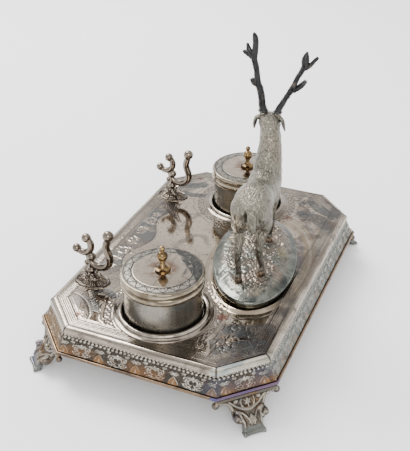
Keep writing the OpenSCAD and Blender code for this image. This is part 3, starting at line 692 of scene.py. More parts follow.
def spray(s, sx, y):
    stem = leaf((sx * 112, y), 90 * sx, 9, 0.8 * sx)[0]
    s.stroke("cut", stem, 0.24, 0.9)
    for k in range(2, 9):
        for h in (-1, 1):
            line, w = leaf(stem[k], 90 * sx + h * 50 + 4 * k * sx, 3.2, 0.4 * h)
            s.stroke("cut", line, 0.2, 0.8)
            s.stroke("film", line, w * 0.45, 0.5)


def plate_sheet():
    s = Sheet(2 * TRAY_A, 2 * TRAY_B, 0.4, ["cut", "film", "red"], False)
    X, Y = s.X, s.Y
    front, ends = Y + TRAY_B, TRAY_A - np.abs(X)
    cant = (TRAY_A + TRAY_B - CUT - np.abs(X) - np.abs(Y)) / math.sqrt(2)
    d = np.minimum.reduce([front, TRAY_B - Y, ends, cant])

    def ring(dist, at, w):
        return np.clip((w - np.abs(dist - at)) / s.step + 0.5, 0, 1)

    # Lines and a dotted band along the edge
    along = np.where(d == cant, (X - Y) / math.sqrt(2), np.where(d == ends, Y, X))
    dots = np.sin(np.pi * (along + d) / 1.5) * np.sin(np.pi * (along - d) / 1.5)
    s.draw("cut", ring(d, 1.8, 0.3), ring(d, 3.0, 0.2), ring(d, 9.4, 0.3), ring(d, 10.6, 0.2))
    s.draw("cut", 0.8 * (dots > 0.25) * (d > 3.6) * (d < 8.8))
    s.draw("film", 0.35 * smoothstep(11.5, 9.5, d))
    # Dotted rings and a scalloped edge round each well
    for sx in (-1, 1):
        r = from_well(X, Y, sx)
        a = np.arctan2(Y - WELL_Y, X - sx * WELL_X)
        free = d > 11.2
        dots = 0.8 * (np.sin(a * 46) * np.sin(np.pi * r / 1.8) > 0.2) * (r > 39) * (r < 42.8)
        s.draw("cut", free * ring(r, 38.4, 0.25), free * ring(r, 43.4, 0.25), free * dots)
        s.draw("cut", free * ring(r, 46 + 2.0 * np.abs(np.sin(a * 11)), 0.25))
        s.draw("film", 0.3 * free * smoothstep(45, 42, r))
    # Broad ornamental border along the front, with its wavy inner line
    reach = 27 + 5 * np.cos(2 * np.pi * X / 62) - 9 * smoothstep(48, 62, np.abs(X))
    inside = smoothstep(0.6, -0.6, front - reach) * smoothstep(10.4, 11, front)
    s.draw("film", 0.95 * inside * smoothstep(66, 58, np.abs(X)))
    middle = np.abs(X) < 62
    s.draw("cut", 0.9 * middle * ring(front, reach, 0.35), 0.6 * middle * ring(front, reach + 1.6, 0.2))
    for sx in (-1, 1):
        flower(s, sx * 12, 17.5 - TRAY_B, 5.0, True)
        flower(s, sx * 37, 17.5 - TRAY_B, 5.0, True)
        for form in FRONT_SCROLLS:
            scroll(s, sx, *form, True, 7)
        # Straps that run in from the rosettes towards the middle
        for y in (-TRAY_B, 2.2 - TRAY_B):
            s.stroke("cut", [[sx * 60, y + 26], [sx * 44, y + 31], [sx * 33, y + 40]], 0.3, 0.9)
            s.stroke("cut", [[sx * 58, y + 12], [sx * 46, y + 24], [sx * 33, y + 40]], 0.3, 0.9)
        strap = [[sx * 57, 20 - TRAY_B], [sx * 46, 27 - TRAY_B], [sx * 36, 37 - TRAY_B]]
        s.stroke("film", strap, [3.2, 2.4, 0.8], 0.7)
        fern(s, sx)
        flower(s, sx * 113, -57, 3.2, False)
        flower(s, sx * 76, 41, 5.2, False)
        for line, widths, value in PATCHES:
            s.stroke("film", np.array(line) * (sx, 1), widths, value)
        for form in BACK_SCROLLS:
            scroll(s, sx, *form, False, 8)
        for y in (-38, -24, 24):
            spray(s, sx, y)
    # A lens in each cant corner, dark beside the ground
    for sx, sy in ((-1, -1), (-1, 1), (1, -1), (1, 1)):
        c = (TRAY_A + TRAY_B - CUT - X * sx - Y * sy) / math.sqrt(2)
        e = (X * sx - Y * sy - (TRAY_A - TRAY_B)) / math.sqrt(2)
        bow = 11 + 9 * np.sqrt(np.clip(1 - (e / 19) ** 2, 0, 1))
        free = (c > 11) * (np.abs(e) < 19)
        s.draw("film", (0.85 if sy > 0 else 0.25) * smoothstep(0.5, -0.5, c - bow) * free)
        s.draw("cut", 0.9 * ring(c, bow, 0.3) * free)
    s.draw("cut", 0.7 * ring(from_boss(X, Y), 6.5, 0.25) * (d > 11))
    return s


def plate():
    """A skin over the plate that sinks where it is cut and rises over the boss."""
    s = plate_sheet()
    nx, ny = 521, 341
    yy = np.linspace(0.3 - TRAY_B, TRAY_B - 0.3, ny)
    half = TRAY_A - 0.3 - np.maximum(0, np.abs(yy) - (TRAY_B - CUT) + 0.1)
    X = half[:, None] * np.linspace(-1, 1, nx)
    Y = np.repeat(yy[:, None], nx, 1)
    q = from_boss(X, Y)
    rise = (BOSS_H + 0.1) * smoothstep(3.4, 0.0, q)
    for sx in (-1, 1):
        rise = rise * smoothstep(COLLAR_R - 0.2, COLLAR_R + 0.2, from_well(X, Y, sx))
    sag = 0.10 * (noise(X / 38, Y / 38, 3.0) - 0.5)
    V = points(X, Y, PLATE_Z + 0.32 + rise - 0.26 * s.sample("cut", X, Y) + sag).reshape(-1, 3)
    faces = grid_faces(ny, nx)
    cx, cy = V[faces, 0].mean(1), V[faces, 1].mean(1)
    keep = from_oval(cx, cy, GROUND_AT, GROUND_TURN, GROUND_A - 6, GROUND_B - 6) > 0
    for sx in (-1, 1):
        keep &= from_well(cx, cy, sx) > COLLAR_R - 1.2
    used, faces = np.unique(faces[keep][:, ::-1], return_inverse=True)
    values = {key: s.sample(key, X, Y).ravel()[used] for key in s.layer}
    values["boss"] = (smoothstep(10, 3, q) * smoothstep(-6, -2, q)).ravel()[used]
    return V[used], faces.reshape(-1, 4), values


def plate_material():
    n = Nodes("plate_engraved")
    cut, film, red, boss = n.attr("cut"), n.attr("film"), n.attr("red"), n.attr("boss")
    y = n.xyz()[1]
    big = n.noise(26, 4, 0.62, distort=0.7)
    mid = n.noise(95, 4, 0.62, distort=0.5)
    fine = n.noise(900)
    grit = n.noise(520, 3, 0.7)
    col = n.mix(n.step(big, 0.38, 0.62), (0.74, 0.63, 0.51), (0.62, 0.52, 0.42))
    clouds = n.step(n.noise(42, 4, distort=1.0), 0.52, 0.64)
    col = n.tone(col, (0.27, 0.24, 0.21), clouds, 0.6)
    worn = n.mul(n.step(grit, 0.52, 0.62), n.step(mid, 0.42, 0.6))
    col = n.tone(col, (0.16, 0.135, 0.115), worn, 0.6)
    # Dark, reddish and violet towards the side with the ground
    zone = n.mul(n.step(y, 0.025, 0.055), n.step(mid, 0.3, 0.5, 0.45, 1.0))
    zone = n.mul(zone, n.step(n.noise(38), 0.4, 0.52))
    tint = n.mix(n.step(n.noise(60), 0.42, 0.56), (0.19, 0.125, 0.095), (0.13, 0.12, 0.13))
    col = n.tone(col, tint, zone, 0.85)
    halo = n.mul(boss, n.step(big, 0.3, 0.6, 0.5, 1.0))
    col = n.tone(col, (0.4, 0.31, 0.2), halo, 0.75)
    f = n.mul(film, n.step(mid, 0.26, 0.46, 0.6, 1.0))
    tone = n.mix(n.step(big, 0.42, 0.6), (0.105, 0.12, 0.125), (0.135, 0.115, 0.105))
    col = n.tone(col, tone, f, 0.95)
    col = n.tone(col, (0.3, 0.085, 0.05), red, n.step(mid, 0.3, 0.5, 0.5, 1.0))
    col = n.tone(col, (0.06, 0.052, 0.045), cut, 0.85)
    spots = n.step(n.noise(420, 2, 0.5), 0.64, 0.7)
    col = n.tone(col, (0.12, 0.085, 0.065), spots, 0.7)
    rough = n.add(0.07, n.mul(n.max(f, cut), 0.2))
    rough = n.add(rough, n.mul(n.max(clouds, worn), 0.1))
    return n.finish(col, rough, n.bump(n.add(n.mul(fine, 0.3), big), 0.06, 0.001))


v, f, at = plate()
make("plate_engraving", v, f, plate_material(), at)


# Gallery and beads
UNIT, G_H = 28.8, 24.0
TOP, LOW = G_H / 2, -G_H / 2
# Scrolls of one unit: place from the bottom middle, start angle, size, hand and half width
UNIT_SCROLLS = ((7.2, 5.4, 180, 3.4, 1, 0.62), (7.4, 11.6, 200, 2.9, -1, 0.55), (12.4, 3.2, 90, 2.3, 1, 0.5),
                (3.4, 15.2, 20, 2.4, 1, 0.5), (11.4, 8.6, 320, 1.9, -1, 0.42), (5.6, 18.4, 160, 1.6, -1, 0.4))


def gallery_sheet():
    """One unit of the stamped pattern."""
    s = Sheet(UNIT, G_H, 0.25, ["high", "arch", "lens"], True)
    X, Y = s.X, s.Y
    s.draw("high", 0.42 * smoothstep(0.0, 0.4, np.sin(X * 3.9 + Y * 2.2) * np.sin(Y * 4.1 - X * 1.8)))
    # Narrow pointed lens at the bottom middle
    s.both("high", catmull([[3.6, LOW], [3.0, LOW + 4], [1.7, LOW + 7.6], [0, LOW + 11]], 5), 0.4, 0.8)
    inner = np.abs(X) < np.interp(Y, [LOW, LOW + 3, LOW + 7, LOW + 11], [4.0, 3.4, 1.8, 0])
    s.draw("arch", inner * 1.0)
    s.layer["high"][inner] *= 0.3
    s.stroke("lens", [[0, LOW + 1.0], [0, LOW + 6.5]], [1.1, 0.3])
    # Scrolls on both sides, and leaves that fill the ground between them
    for x, y, ang, size, hand, wide in UNIT_SCROLLS:
        line = spiral((x, LOW + y), ang, size, hand, 1.25, 22)
        s.both("high", line, np.linspace(wide, 0.3, len(line)), 0.95)
        for k in (2, 5, 8, 11, 14):
            side, w = leaf(line[k], heading(line, k) - hand * 62, size * 0.62, 0.8 * hand, 6)
            s.both("high", side, w * 0.45 + 0.08, 0.8)
    # Six-petalled flower between the units, over two leaves
    for x in (-UNIT / 2, UNIT / 2):
        s.petals((x, LOW + 14.2), 3.6, 0.85, 0.95)
        s.stroke("high", [[x, LOW + 14.2], [x + 0.01, LOW + 14.2]], 1.0)
        for h in (-1, 1):
            line, w = leaf((x, LOW + 0.5), 90 + 32 * h, 7.5, 0.5 * h, 8)
            s.stroke("high", line, w * 0.8 + 0.1, 0.8)
    # Tongues along the top
    for k in range(9):
        x = (k + 0.5) * UNIT / 9 - UNIT / 2
        s.stroke("high", [[x, TOP - 0.3], [x, TOP - 2.8]], 1.05, 0.9)
    return s


def profile(line):
    """The run along a line, and the direction square to it at each point."""
    run = np.concatenate([[0], np.cumsum(np.hypot(*np.diff(line, axis=0).T))])
    d = np.gradient(line, axis=0)
    d /= np.linalg.norm(d, axis=1)[:, None]
    return run, -d[:, 1], d[:, 0]


def gallery_strip(sheet, i):
    """The stamped skin of side i, from the neck down to the lip."""
    nv = 66
    j = np.linspace(0, 1, nv)
    o = NECK_O + (LIP_O - NECK_O) * j
    z = NECK_Z + (LIP_Z - NECK_Z) * (j - 0.14 * np.sin(2 * np.pi * j))
    run, out, up = profile(np.stack([o, z], -1))
    ends = np.array([side_line(i, q) for q in o])
    a, b = ends[:, 0], ends[:, 1]
    length = np.linalg.norm(b - a, axis=1)
    nu = int(length[-1] / 0.42) + 2
    u = np.linspace(0, 1, nu)[:, None]
    x = a[:, 0] * (1 - u) + b[:, 0] * u
    y = a[:, 1] * (1 - u) + b[:, 1] * u
    phase = 0 if i % 2 == 0 else UNIT / 2
    along = ((u - 0.5) * length + phase + UNIT / 2) % UNIT - UNIT / 2
    down = np.broadcast_to(G_H / 2 - run * (G_H / run[-1]), along.shape)
    values = {key: sheet.sample(key, along, down) for key in sheet.layer}
    wave = 0.75 + 0.5 * noise(x / 9, y / 9, z / 9)
    edge = smoothstep(0, 1.2, np.minimum(u, 1 - u) * length)
    lift = 0.12 + edge * (0.85 * values["high"] * wave + 0.55 * values["lens"] + 0.1 * values["arch"])
    face_x, face_y = turn(1, 0, 45 * i - 90)
    verts = points(x + out * lift * face_x, y + out * lift * face_y, z + up * lift)
    return verts, grid_faces(nu, nv)[:, ::-1], values


def beads():
    """A row of separate beads under the edge of all eight sides."""
    parts = []
    for i in range(8):
        a, b = side_line(i, NECK_O + 0.55)
        k = int(np.linalg.norm(b - a) / 2.75)
        for q in (np.arange(k) + 0.5) / k:
            parts.append(ball((*(a + (b - a) * q), EDGE_Z - 1.25), 1.12, 7, 1.15))
    return join(parts)


def gallery_material():
    n = Nodes("gallery_embossed")
    high, arch, lens = n.attr("high"), n.attr("arch"), n.attr("lens")
    x, y, z = n.xyz()
    big = n.noise(34, distort=0.6)
    mid = n.noise(150, 4, 0.65)
    fine = n.noise(1100, 3, 0.65)
    wob = n.mul(n.sub(fine, 0.5), 0.7)
    up = n.step(n.add(high, wob), 0.16, 0.58)
    light = n.mix(n.step(mid, 0.4, 0.6), (0.6, 0.56, 0.49), (0.36, 0.33, 0.28))
    col = n.mix(up, (0.065, 0.055, 0.045), light)
    # Copper shows through low down and round the lenses
    worn = n.mul(n.step(big, 0.44, 0.58), n.step(z, 0.036, 0.027))
    col = n.tone(col, (0.33, 0.17, 0.08), worn, 0.6)
    ar = n.mul(arch, n.step(mid, 0.3, 0.5, 0.6, 1.0))
    col = n.tone(col, (0.34, 0.19, 0.09), ar, 0.9)
    col = n.tone(col, (0.5, 0.4, 0.33), n.step(lens, 0.35, 0.8), 0.6)
    # Blue and violet by the near foot, gold on the cant by the pen rest, grey on the long side
    blue = n.mul(near_cant(n), n.step(n.noise(60), 0.45, 0.58))
    col = n.tone(col, (0.105, 0.11, 0.15), blue, 0.45)
    gold = n.mul(n.step(x, 0.1, 0.112), n.step(y, -0.056, -0.068))
    col = n.tone(col, (0.37, 0.25, 0.14), gold, n.step(mid, 0.3, 0.6, 0.45, 0.85))
    grey = n.mul(n.step(y, 0.0835, 0.087), n.step(n.add(x, y), 0.196, 0.188))
    col = n.tone(col, (0.46, 0.48, 0.45), grey, n.step(mid, 0.3, 0.6, 0.35, 0.7))
    rough = n.add(0.18, n.mul(n.sub(1.0, up), 0.3))
    return n.finish(col, rough, n.bump(n.add(fine, mid), 0.5, 0.0005))


stamped, stamped_mat = gallery_sheet(), gallery_material()
for i in range(8):
    v, f, at = gallery_strip(stamped, i)
    make("gallery_relief_%d" % i, v, f, stamped_mat, at)
v, f = beads()
bead_mat = polished("bead_silver", (0.54, 0.48, 0.40), (0.22, 0.19, 0.16), 0.5, (0.14, 0.3), 200)
make("bead_row", v, f, bead_mat)


# Collars
def collar(cx):
    """A round bead with a step outside it and a lip close to the pot."""
    z, n = PLATE_Z, 144
    a = np.linspace(0.9 * math.pi, -0.12 * math.pi, 16)
    bead = np.stack([32.0 + 1.8 * np.cos(a), z + 2.4 + 1.8 * np.sin(a)], -1)
    lip = [(29.35, z - 0.5), (29.3, z + 0.5), (29.6, z + 1.2), (30.2, z + 1.7)]
    step = [(34.0, z + 1.35), (36.2, z + 1.2), (36.8, z + 0.9), (36.9, z), (30.2, z - 0.5)]
    p = np.vstack([lip, bead, step])
    r = p[:, 0, None]
    v = points(cx + r * np.cos(around(n)), WELL_Y + r * np.sin(around(n)), p[:, 1, None])
    return v, grid_faces(len(p), n, True, True)[:, ::-1]


def collar_colour(n, col):
    """Brown in the groove outside the bead and down towards the pot."""
    z = n.xyz()[2]
    low = n.step(z, (PLATE_Z + 2.2) * MM, (PLATE_Z + 1.1) * MM)
    col = n.tone(col, (0.16, 0.125, 0.1), low, 0.6)
    streak = n.step(n.noise((55, 55, 20)), 0.48, 0.62)
    return n.tone(col, (0.18, 0.145, 0.12), streak, 0.55)


collar_mat = polished("collar_silver", (0.64, 0.57, 0.48), (0.25, 0.21, 0.17), 0.4, (0.10, 0.26), 70,
                      extra=collar_colour)
for s, sx in (("left", -1), ("right", 1)):
    v, f = collar(sx * WELL_X)
    o = make("collar_bead_" + s, v, f, collar_mat)
    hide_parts("collar_" + s)


# Cast pieces
def hollows(o, rounds=4, gain=2.5):
    """How deep each point lies in a hollow: above 0 in hollows, below 0 on edges."""
    v = coords(o)
    e = np.empty(len(o.data.edges) * 2, np.int32)
    o.data.edges.foreach_get("vertices", e)
    a, b = e.reshape(-1, 2).T
    count = np.maximum(np.bincount(e, minlength=len(v)), 1)
    s = v
    for _ in range(rounds):
        near = [np.bincount(a, s[b, k], len(v)) + np.bincount(b, s[a, k], len(v)) for k in range(3)]
        s = np.stack(near, -1) / count[:, None]
    attribute(o, "hollow", np.clip(((s - v) * normals(o)).sum(1) * gain, -1, 1))


def cast_material(name, light, mid, dark, rough=(0.18, 0.45), scale=120, stroke=None, extra=None):
    """Cast and plated metal: painted shade in the hollows, bright on worn edges."""
    n = Nodes(name)
    h = n.attr("hollow")
    big = n.noise(scale * 0.35, distort=0.6)
    fine = n.noise(scale * 4)
    wob = n.mul(n.sub(fine, 0.5), 0.5)
    deep = n.step(n.add(h, wob), 0.02, 0.4)
    worn = n.step(n.add(h, wob), -0.12, -0.5)
    col = n.mix(n.step(big, 0.38, 0.62), mid, [m * 0.72 for m in mid])
    col = n.tone(col, light, worn)
    # Painted shade: the hollows are darkened where less light reaches them
    col = n.tone(col, dark, deep, 0.9)
    if extra:
        col = extra(n, col)
    height = n.add(n.mul(fine, 0.3), big)
    strength, dist = 0.15, 0.0008
    if stroke:
        side, top = n.noise(stroke[0], 2, 0.5, distort=0.3), n.noise(stroke[1], 2, 0.5, distort=0.3)
        fur = n.mix(n.attr("top"), side, top)
        fur = n.step(fur, 0.34, 0.66)
        col = n.tone(col, dark, n.sub(1.0, fur), 0.62)
        height, strength, dist = fur, 0.8, 0.0006
    rough_out = n.add(rough[0], n.mul(deep, rough[1] - rough[0]))
    rough_out = n.add(rough_out, n.mul(n.sub(big, 0.5), 0.12))
    return n.finish(col, rough_out, n.bump(height, strength, dist))


# Stag
# The stations repeat the solid's: x forward, y to its left, z up from the hooves
TORSO = [[-47.6, 0, 60, 2.5, 3.5], [-46, 0, 60, 7.5, 8.5], [-42, 0, 59.5, 12, 13],
         [-35, 0.5, 58.4, 15, 16.4], [-25, 0.5, 58, 14.2, 17], [-12, 0, 55.5, 12, 14.6],
         [0, 0, 55.5, 12.2, 15.3], [10, 0, 57, 12.4, 16.8], [18, 0, 59, 11.2, 15.6],
         [25, 0, 60.5, 8.6, 12], [29, 0, 61, 4.6, 7], [30.2, 0, 61, 1.5, 2.5]]
NECK = [[9, 0, 56, 8.5, 9], [13, -0.4, 67, 10.6, 12.4], [17, -0.8, 76, 9.8, 11.4],
        [20.5, -0.5, 85, 8.4, 9.8], [23, 0.5, 93, 7.7, 8.8], [25, 1.4, 99, 7.3, 8.2],
        [26.6, 2, 103, 6.4, 7], [27.4, 2, 105, 5, 5.4], [27.8, 2, 106.2, 2, 2.2]]
FACE = [[18, 2, 100, 3.4, 3.4], [21.5, 2, 100.5, 7.2, 6.2], [28, 2, 100.5, 7.8, 7],
        [34, 2, 98, 6.4, 6], [41, 2, 95.4, 4.9, 5.2], [47, 2, 93, 3.9, 4.3],
        [52, 2, 91.4, 3.5, 3.8], [54.5, 2, 90.8, 2, 2.2]]
TAIL = [[-44, -1.6, 64, 2.4, 2], [-47.5, -2.4, 61, 3.2, 2.4], [-49.6, -3.2, 55, 3.7, 2.2],
        [-49.8, -3.8, 49.6, 2.6, 1.6], [-49.4, -4, 47, 0.8, 0.6]]
EARS = [[[26, 6, 102.4, 1.9, 1.9], [25.8, 9.4, 104, 1.9, 1.7], [25.4, 12, 102.8, 2.4, 1.5],
         [25, 13, 98.8, 2.5, 1.3], [24.4, 13.3, 94.6, 0.9, 0.7]],
        [[26, -2, 102.6, 1.9, 1.9], [25.8, -5.2, 104.4, 1.9, 1.7], [25.4, -7.6, 103.2, 2.4, 1.5],
         [24.8, -9, 99.4, 2.5, 1.3], [24.2, -10.5, 94.8, 0.9, 0.7]]]
BEAMS = {
    "left": [[26.8, 7.2, 108.2, 3.2], [26.8, 7.3, 109.6, 3.2], [26.6, 8.1, 113, 3.1],
             [26, 8.6, 118.4, 3], [25.2, 9.8, 125.4, 2.9], [24.4, 11.4, 130.2, 2.8],
             [23.4, 12.1, 135.7, 2.5], [22.4, 12.5, 141.1, 2.4], [21.4, 13.4, 146.4, 2.5],
             [20.6, 14, 151.1, 2.6], [19.8, 13.2, 159.3, 2.4], [20, 13.6, 164, 2.4],
             [20.5, 14.4, 167.2, 1.9], [21, 15.2, 169.4, 0.9]],
    "right": [[26.8, -3.6, 108.2, 2.8], [26.8, -3.9, 109.6, 2.8], [26.8, -5, 112, 2.7],
              [26.6, -6.8, 115.2, 2.5], [26.2, -8.5, 118.8, 2.4], [25.6, -11, 123.5, 2.4],
              [24.6, -13.9, 128.6, 2.5], [23.8, -15.6, 132.9, 2.2], [22.8, -17.8, 138.6, 2.1],
              [21.8, -20.4, 143.7, 2.2], [21, -22.3, 148.2, 2.6], [20.6, -22.7, 152.3, 3],
              [20.6, -23.1, 155.7, 2.3], [21, -23.7, 158.9, 0.8]]}
TINES = {
    "left": [[[24.4, 11.8, 129, 2.2], [24.6, 14.9, 131.1, 2.2], [25, 16.7, 133.6, 1.6]],
             [[20.8, 14.6, 150.4, 2], [21.6, 18, 152.6, 2.1], [22.6, 20.9, 153.7, 1.7], [23.4, 23, 154.5, 1]],
             [[20.6, 15, 151.6, 2], [21.2, 17.9, 155.7, 2.1], [21.8, 19.1, 158.6, 1.6],
              [22.2, 19.9, 160.9, 0.9]]],
    "right": [[[24.6, -14.6, 126.9, 1.9], [25.4, -18.3, 129.8, 2.2], [26.4, -21.1, 132.5, 2.4],
               [27.2, -23.2, 135.2, 1.4]],
              [[21, -22.8, 146.4, 1.9], [21.4, -26.2, 148.9, 1.8], [21.8, -29, 152.2, 1.5],
               [22.2, -31.5, 155.2, 1.3]]]}
PEDICLES = {"left": (26.8, 7.2, 107.8), "right": (26.8, -3.6, 107.8)}
STAG_Z = PLATE_Z + BOSS_H + GROUND_H


def leg(top, bend, toe, girth):
    return [[top[0], top[1] * 0.8, 58, 6 * girth, 9 * girth], [top[0], top[1], 47, 5.9 * girth, 7.8 * girth],
            [top[0] + 1, top[1], 39, 4.6 * girth, 5.8 * girth],
            [(top[0] + bend[0]) / 2, bend[1], 31, 3.4, 4.2],
            [bend[0], bend[1], 23.5, 2.9, 3.4], [bend[0] * 0.7 + toe[0] * 0.3, bend[1], 16, 2.4, 2.7],
            [toe[0] + 1, toe[1], 8, 2.2, 2.4], [toe[0] + 0.8, toe[1], 4.4, 2.4, 2.7],
            [toe[0], toe[1], 2, 2.7, 3.2], [toe[0], toe[1], 0, 2.9, 3.6]]


LEGS = [leg([-34, 9], [-40.5, 8.2], [-42, 7], 1.05), leg([-27, -8], [-31, -5.6], [-29, -7.6], 1.05),
        leg([14, -6.4], [17.6, -5], [19, -3.6], 0.85), leg([18, 6.4], [25, 6.2], [28, 6], 0.85)]


def stag_parts():
    parts = [loft(TORSO, 4, 40), loft(NECK, 4, 36), loft(FACE, 4, 32), loft(TAIL, 4, 20)]
    parts += [loft(limb, 4, 24) for limb in LEGS]
    parts += [loft(ear, 4, 20, (1, 0, 0)) for ear in EARS]
    for x, y, z in PEDICLES.values():
        parts.append(tube([[x, y, 102.8], [x, y, 105], [x, y, z]], [2.9, 2.7, 2.7], 4, 24, (0, 1, 0)))
    # Brow ridges and cheeks
    for sy in (-1, 1):
        parts.append(ball((33.4, 2 + sy * 5.0, 101.2), 2.3, 12, 0.8))
        parts.append(ball((28.5, 2 + sy * 5.2, 97.2), 3.2, 12, 1.1))
    # Hocks and dewclaws
    for limb in LEGS[:2]:
        parts.append(ball((limb[4][0] - 2.6, limb[4][1], 25.2), 1.3, 10, 1.6))
    for limb in LEGS:
        for side in (1.1, -1.1):
            parts.append(ball((limb[-1][0] - 2.2, limb[-1][1] + side, 4.6), 0.8, 8))
    return parts


def creases(x, y, z):
    """How far the surface sinks beside the tail and in the lines of body, face, hooves and ears."""
    d = 0.5 * hump(z, 90.0 + 0.25 * (x - 52), 0.4) * smoothstep(43, 48, x)
    haunch = smoothstep(8, 11, np.abs(y)) * smoothstep(44, 50, z) * (z < 72)
    d += 0.7 * hump(x, -30 - 0.45 * (z - 58), 2.4) * haunch
    shoulder = smoothstep(7, 10, np.abs(y)) * (z > 44) * (z < 74)
    d += 0.5 * hump(x, 9 - 0.3 * (z - 58), 2.0) * shoulder
    for sy in (-1, 1):
        d += 1.5 * hump(y, sy * 5.2 - 3.2, 1.7) * hump(z, 56, 5.5) * (x < -40)
        d += 1.0 * hump(y, 2 + sy * 3.4, 1.0) * hump(x, 52.2, 1.1) * hump(z, 92.4, 1.0)
        d += 0.8 * hump(y, 2 + sy * 6.2, 2) * hump(x, 34.6, 1.1) * hump(z, 99.6, 0.7)
    for limb in LEGS:
        toe_x, toe_y = limb[-1][:2]
        near = np.hypot(x - toe_x, y - toe_y) < 6
        d += 0.9 * near * hump(y, toe_y, 0.45) * smoothstep(3.6, 2.0, z) * (x > toe_x - 0.5)
        d += 0.35 * near * hump(z, 3.7, 0.35)
    for ear in EARS:
        at_y = ear[2][1] + 0.6 * np.sign(ear[2][1])
        d += 0.8 * hump(y, at_y, 1.5) * hump(z, 100.5, 3.6) * (x > 25.6) * (x < 30)
    return d


def stag():
    """The figure in one skin, with its fur, creases, darker places with a painted shadow by the tail, and
    hooves.
    """
    o = fused("stag_figure", stag_parts(), 0.55, 3)
    v, n = coords(o), normals(o)
    x, y, z = v.T
    # Tufts that lie back along the body and down the neck and haunches
    up = smoothstep(0.55, 0.85, np.abs(n[:, 2])) * (x < 16) * (z > 40)
    fur = noise(x / 1.9, y / 1.9, z / 6.5) * (1 - up) + noise(x / 6.5, y / 1.9, z / 1.9) * up
    coat = smoothstep(30, 38, z) * smoothstep(44, 34, x) * (1 - smoothstep(99, 103, z))
    d = 0.85 * (fur - 0.5) * coat + 0.25 * (noise(x / 5, y / 5, z / 5) - 0.5) - creases(x, y, z)
    moved = v + n * d[:, None]
    moved[:, 2] = np.maximum(moved[:, 2], 0.02)
    move(o, moved)
    hollows(o)
    # Darker towards the hooves and inside the ears, and a painted shadow under the rump beside the tail
    dark = smoothstep(36, 24, z) * 0.85 + 0.5 * smoothstep(-6, -3, -np.abs(y + 3)) * (x < -38) * (z < 52)
    for ear in EARS:
        dark = np.maximum(dark, 1.2 * hump(x, 25.4, 5) * hump(y, ear[3][1], 3.6) * hump(z, 100, 6))
    attribute(o, "dark", np.clip(dark, 0, 1))
    attribute(o, "hoof", smoothstep(4.4, 3.2, z))
    attribute(o, "top", up)
    return on_ground(o)


def on_ground(o):
    """Moves a piece of the stag to where the stag stands."""
    return placed(o, *STAG_AT, STAG_Z, 180 + STAG_TURN)


def stag_colour(n, col):
    col = n.tone(col, (0.34, 0.27, 0.2), n.step(n.noise(48), 0.5, 0.66), 0.5)
    # Darkens the places marked dark, one of them a painted shadow beside the tail
    col = n.tone(col, (0.07, 0.065, 0.06), n.attr("dark"), 0.75)
    return n.tone(col, (0.34, 0.22, 0.15), n.attr("hoof"), 0.7)


def antler_colour(n, col):
    worn = n.step(n.noise(170), 0.58, 0.7)
    return n.tone(col, (0.25, 0.2, 0.15), worn, 0.5)


def antler(side):
    """A beam and its tines, over a knobbed ring on the pedicle."""
    beam, foot_z = BEAMS[side], PEDICLES[side][2]
    parts = [loft([[*p, p[3] * 0.9] for p in branch], 5, 20, (1, 0, 0)) for branch in [beam] + TINES[side]]
    r = beam[0][3] + 0.5
    rounded = [[0.01, 0], [r, 0], [r + 0.15, 0.35], [r + 0.15, 1.0], [r, 1.4], [0.01, 1.4]]
    ring, faces = lathe(rounded, 32, 0.05, 9)
    parts.append((ring + PEDICLES[side], faces))
    o = fused("antler_cast_" + side, parts, 0.34, 2)
    v, n = coords(o), normals(o)
    x, y, z = v.T
    groove = noise(x / 1.1, y / 1.1, z / 8) - 0.5
    knobs = noise(x / 3.2 + 9, y / 3.2 + 9, z / 3.2 + 9) - 0.5
    moved = v + n * (0.5 * groove + 0.5 * knobs)[:, None]
    moved[:, 2] = np.maximum(moved[:, 2], foot_z)
    move(o, moved)
    hollows(o)
    return on_ground(o)


fur_strokes = ((1050, 1050, 260), (260, 1050, 1050))
stag_mat = cast_material("stag_fur", (0.57, 0.53, 0.44), (0.42, 0.39, 0.315), (0.11, 0.098, 0.078),
                         (0.30, 0.5), 120, fur_strokes, stag_colour)
o = stag()
finish_piece(o, stag_mat)
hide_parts("stag")

eye_mat = polished("stag_eyes", (0.12, 0.11, 0.10), (0.05, 0.05, 0.05), 0.4, (0.08, 0.2), 300, False)
v, f = join([ball((34.3, 2 + s * 6.1, 99.9), 1.25, 12) for s in (-1, 1)])
on_ground(make("stag_eyes", v, f, eye_mat))

antler_mat = cast_material("antler_oxide", (0.13, 0.127, 0.12), (0.055, 0.055, 0.055), (0.02, 0.02, 0.02),
                           (0.3, 0.5), 160, None, antler_colour)
for s in ("left", "right"):
    o = antler(s)
    finish_piece(o, antler_mat)
    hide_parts("antler_" + s)


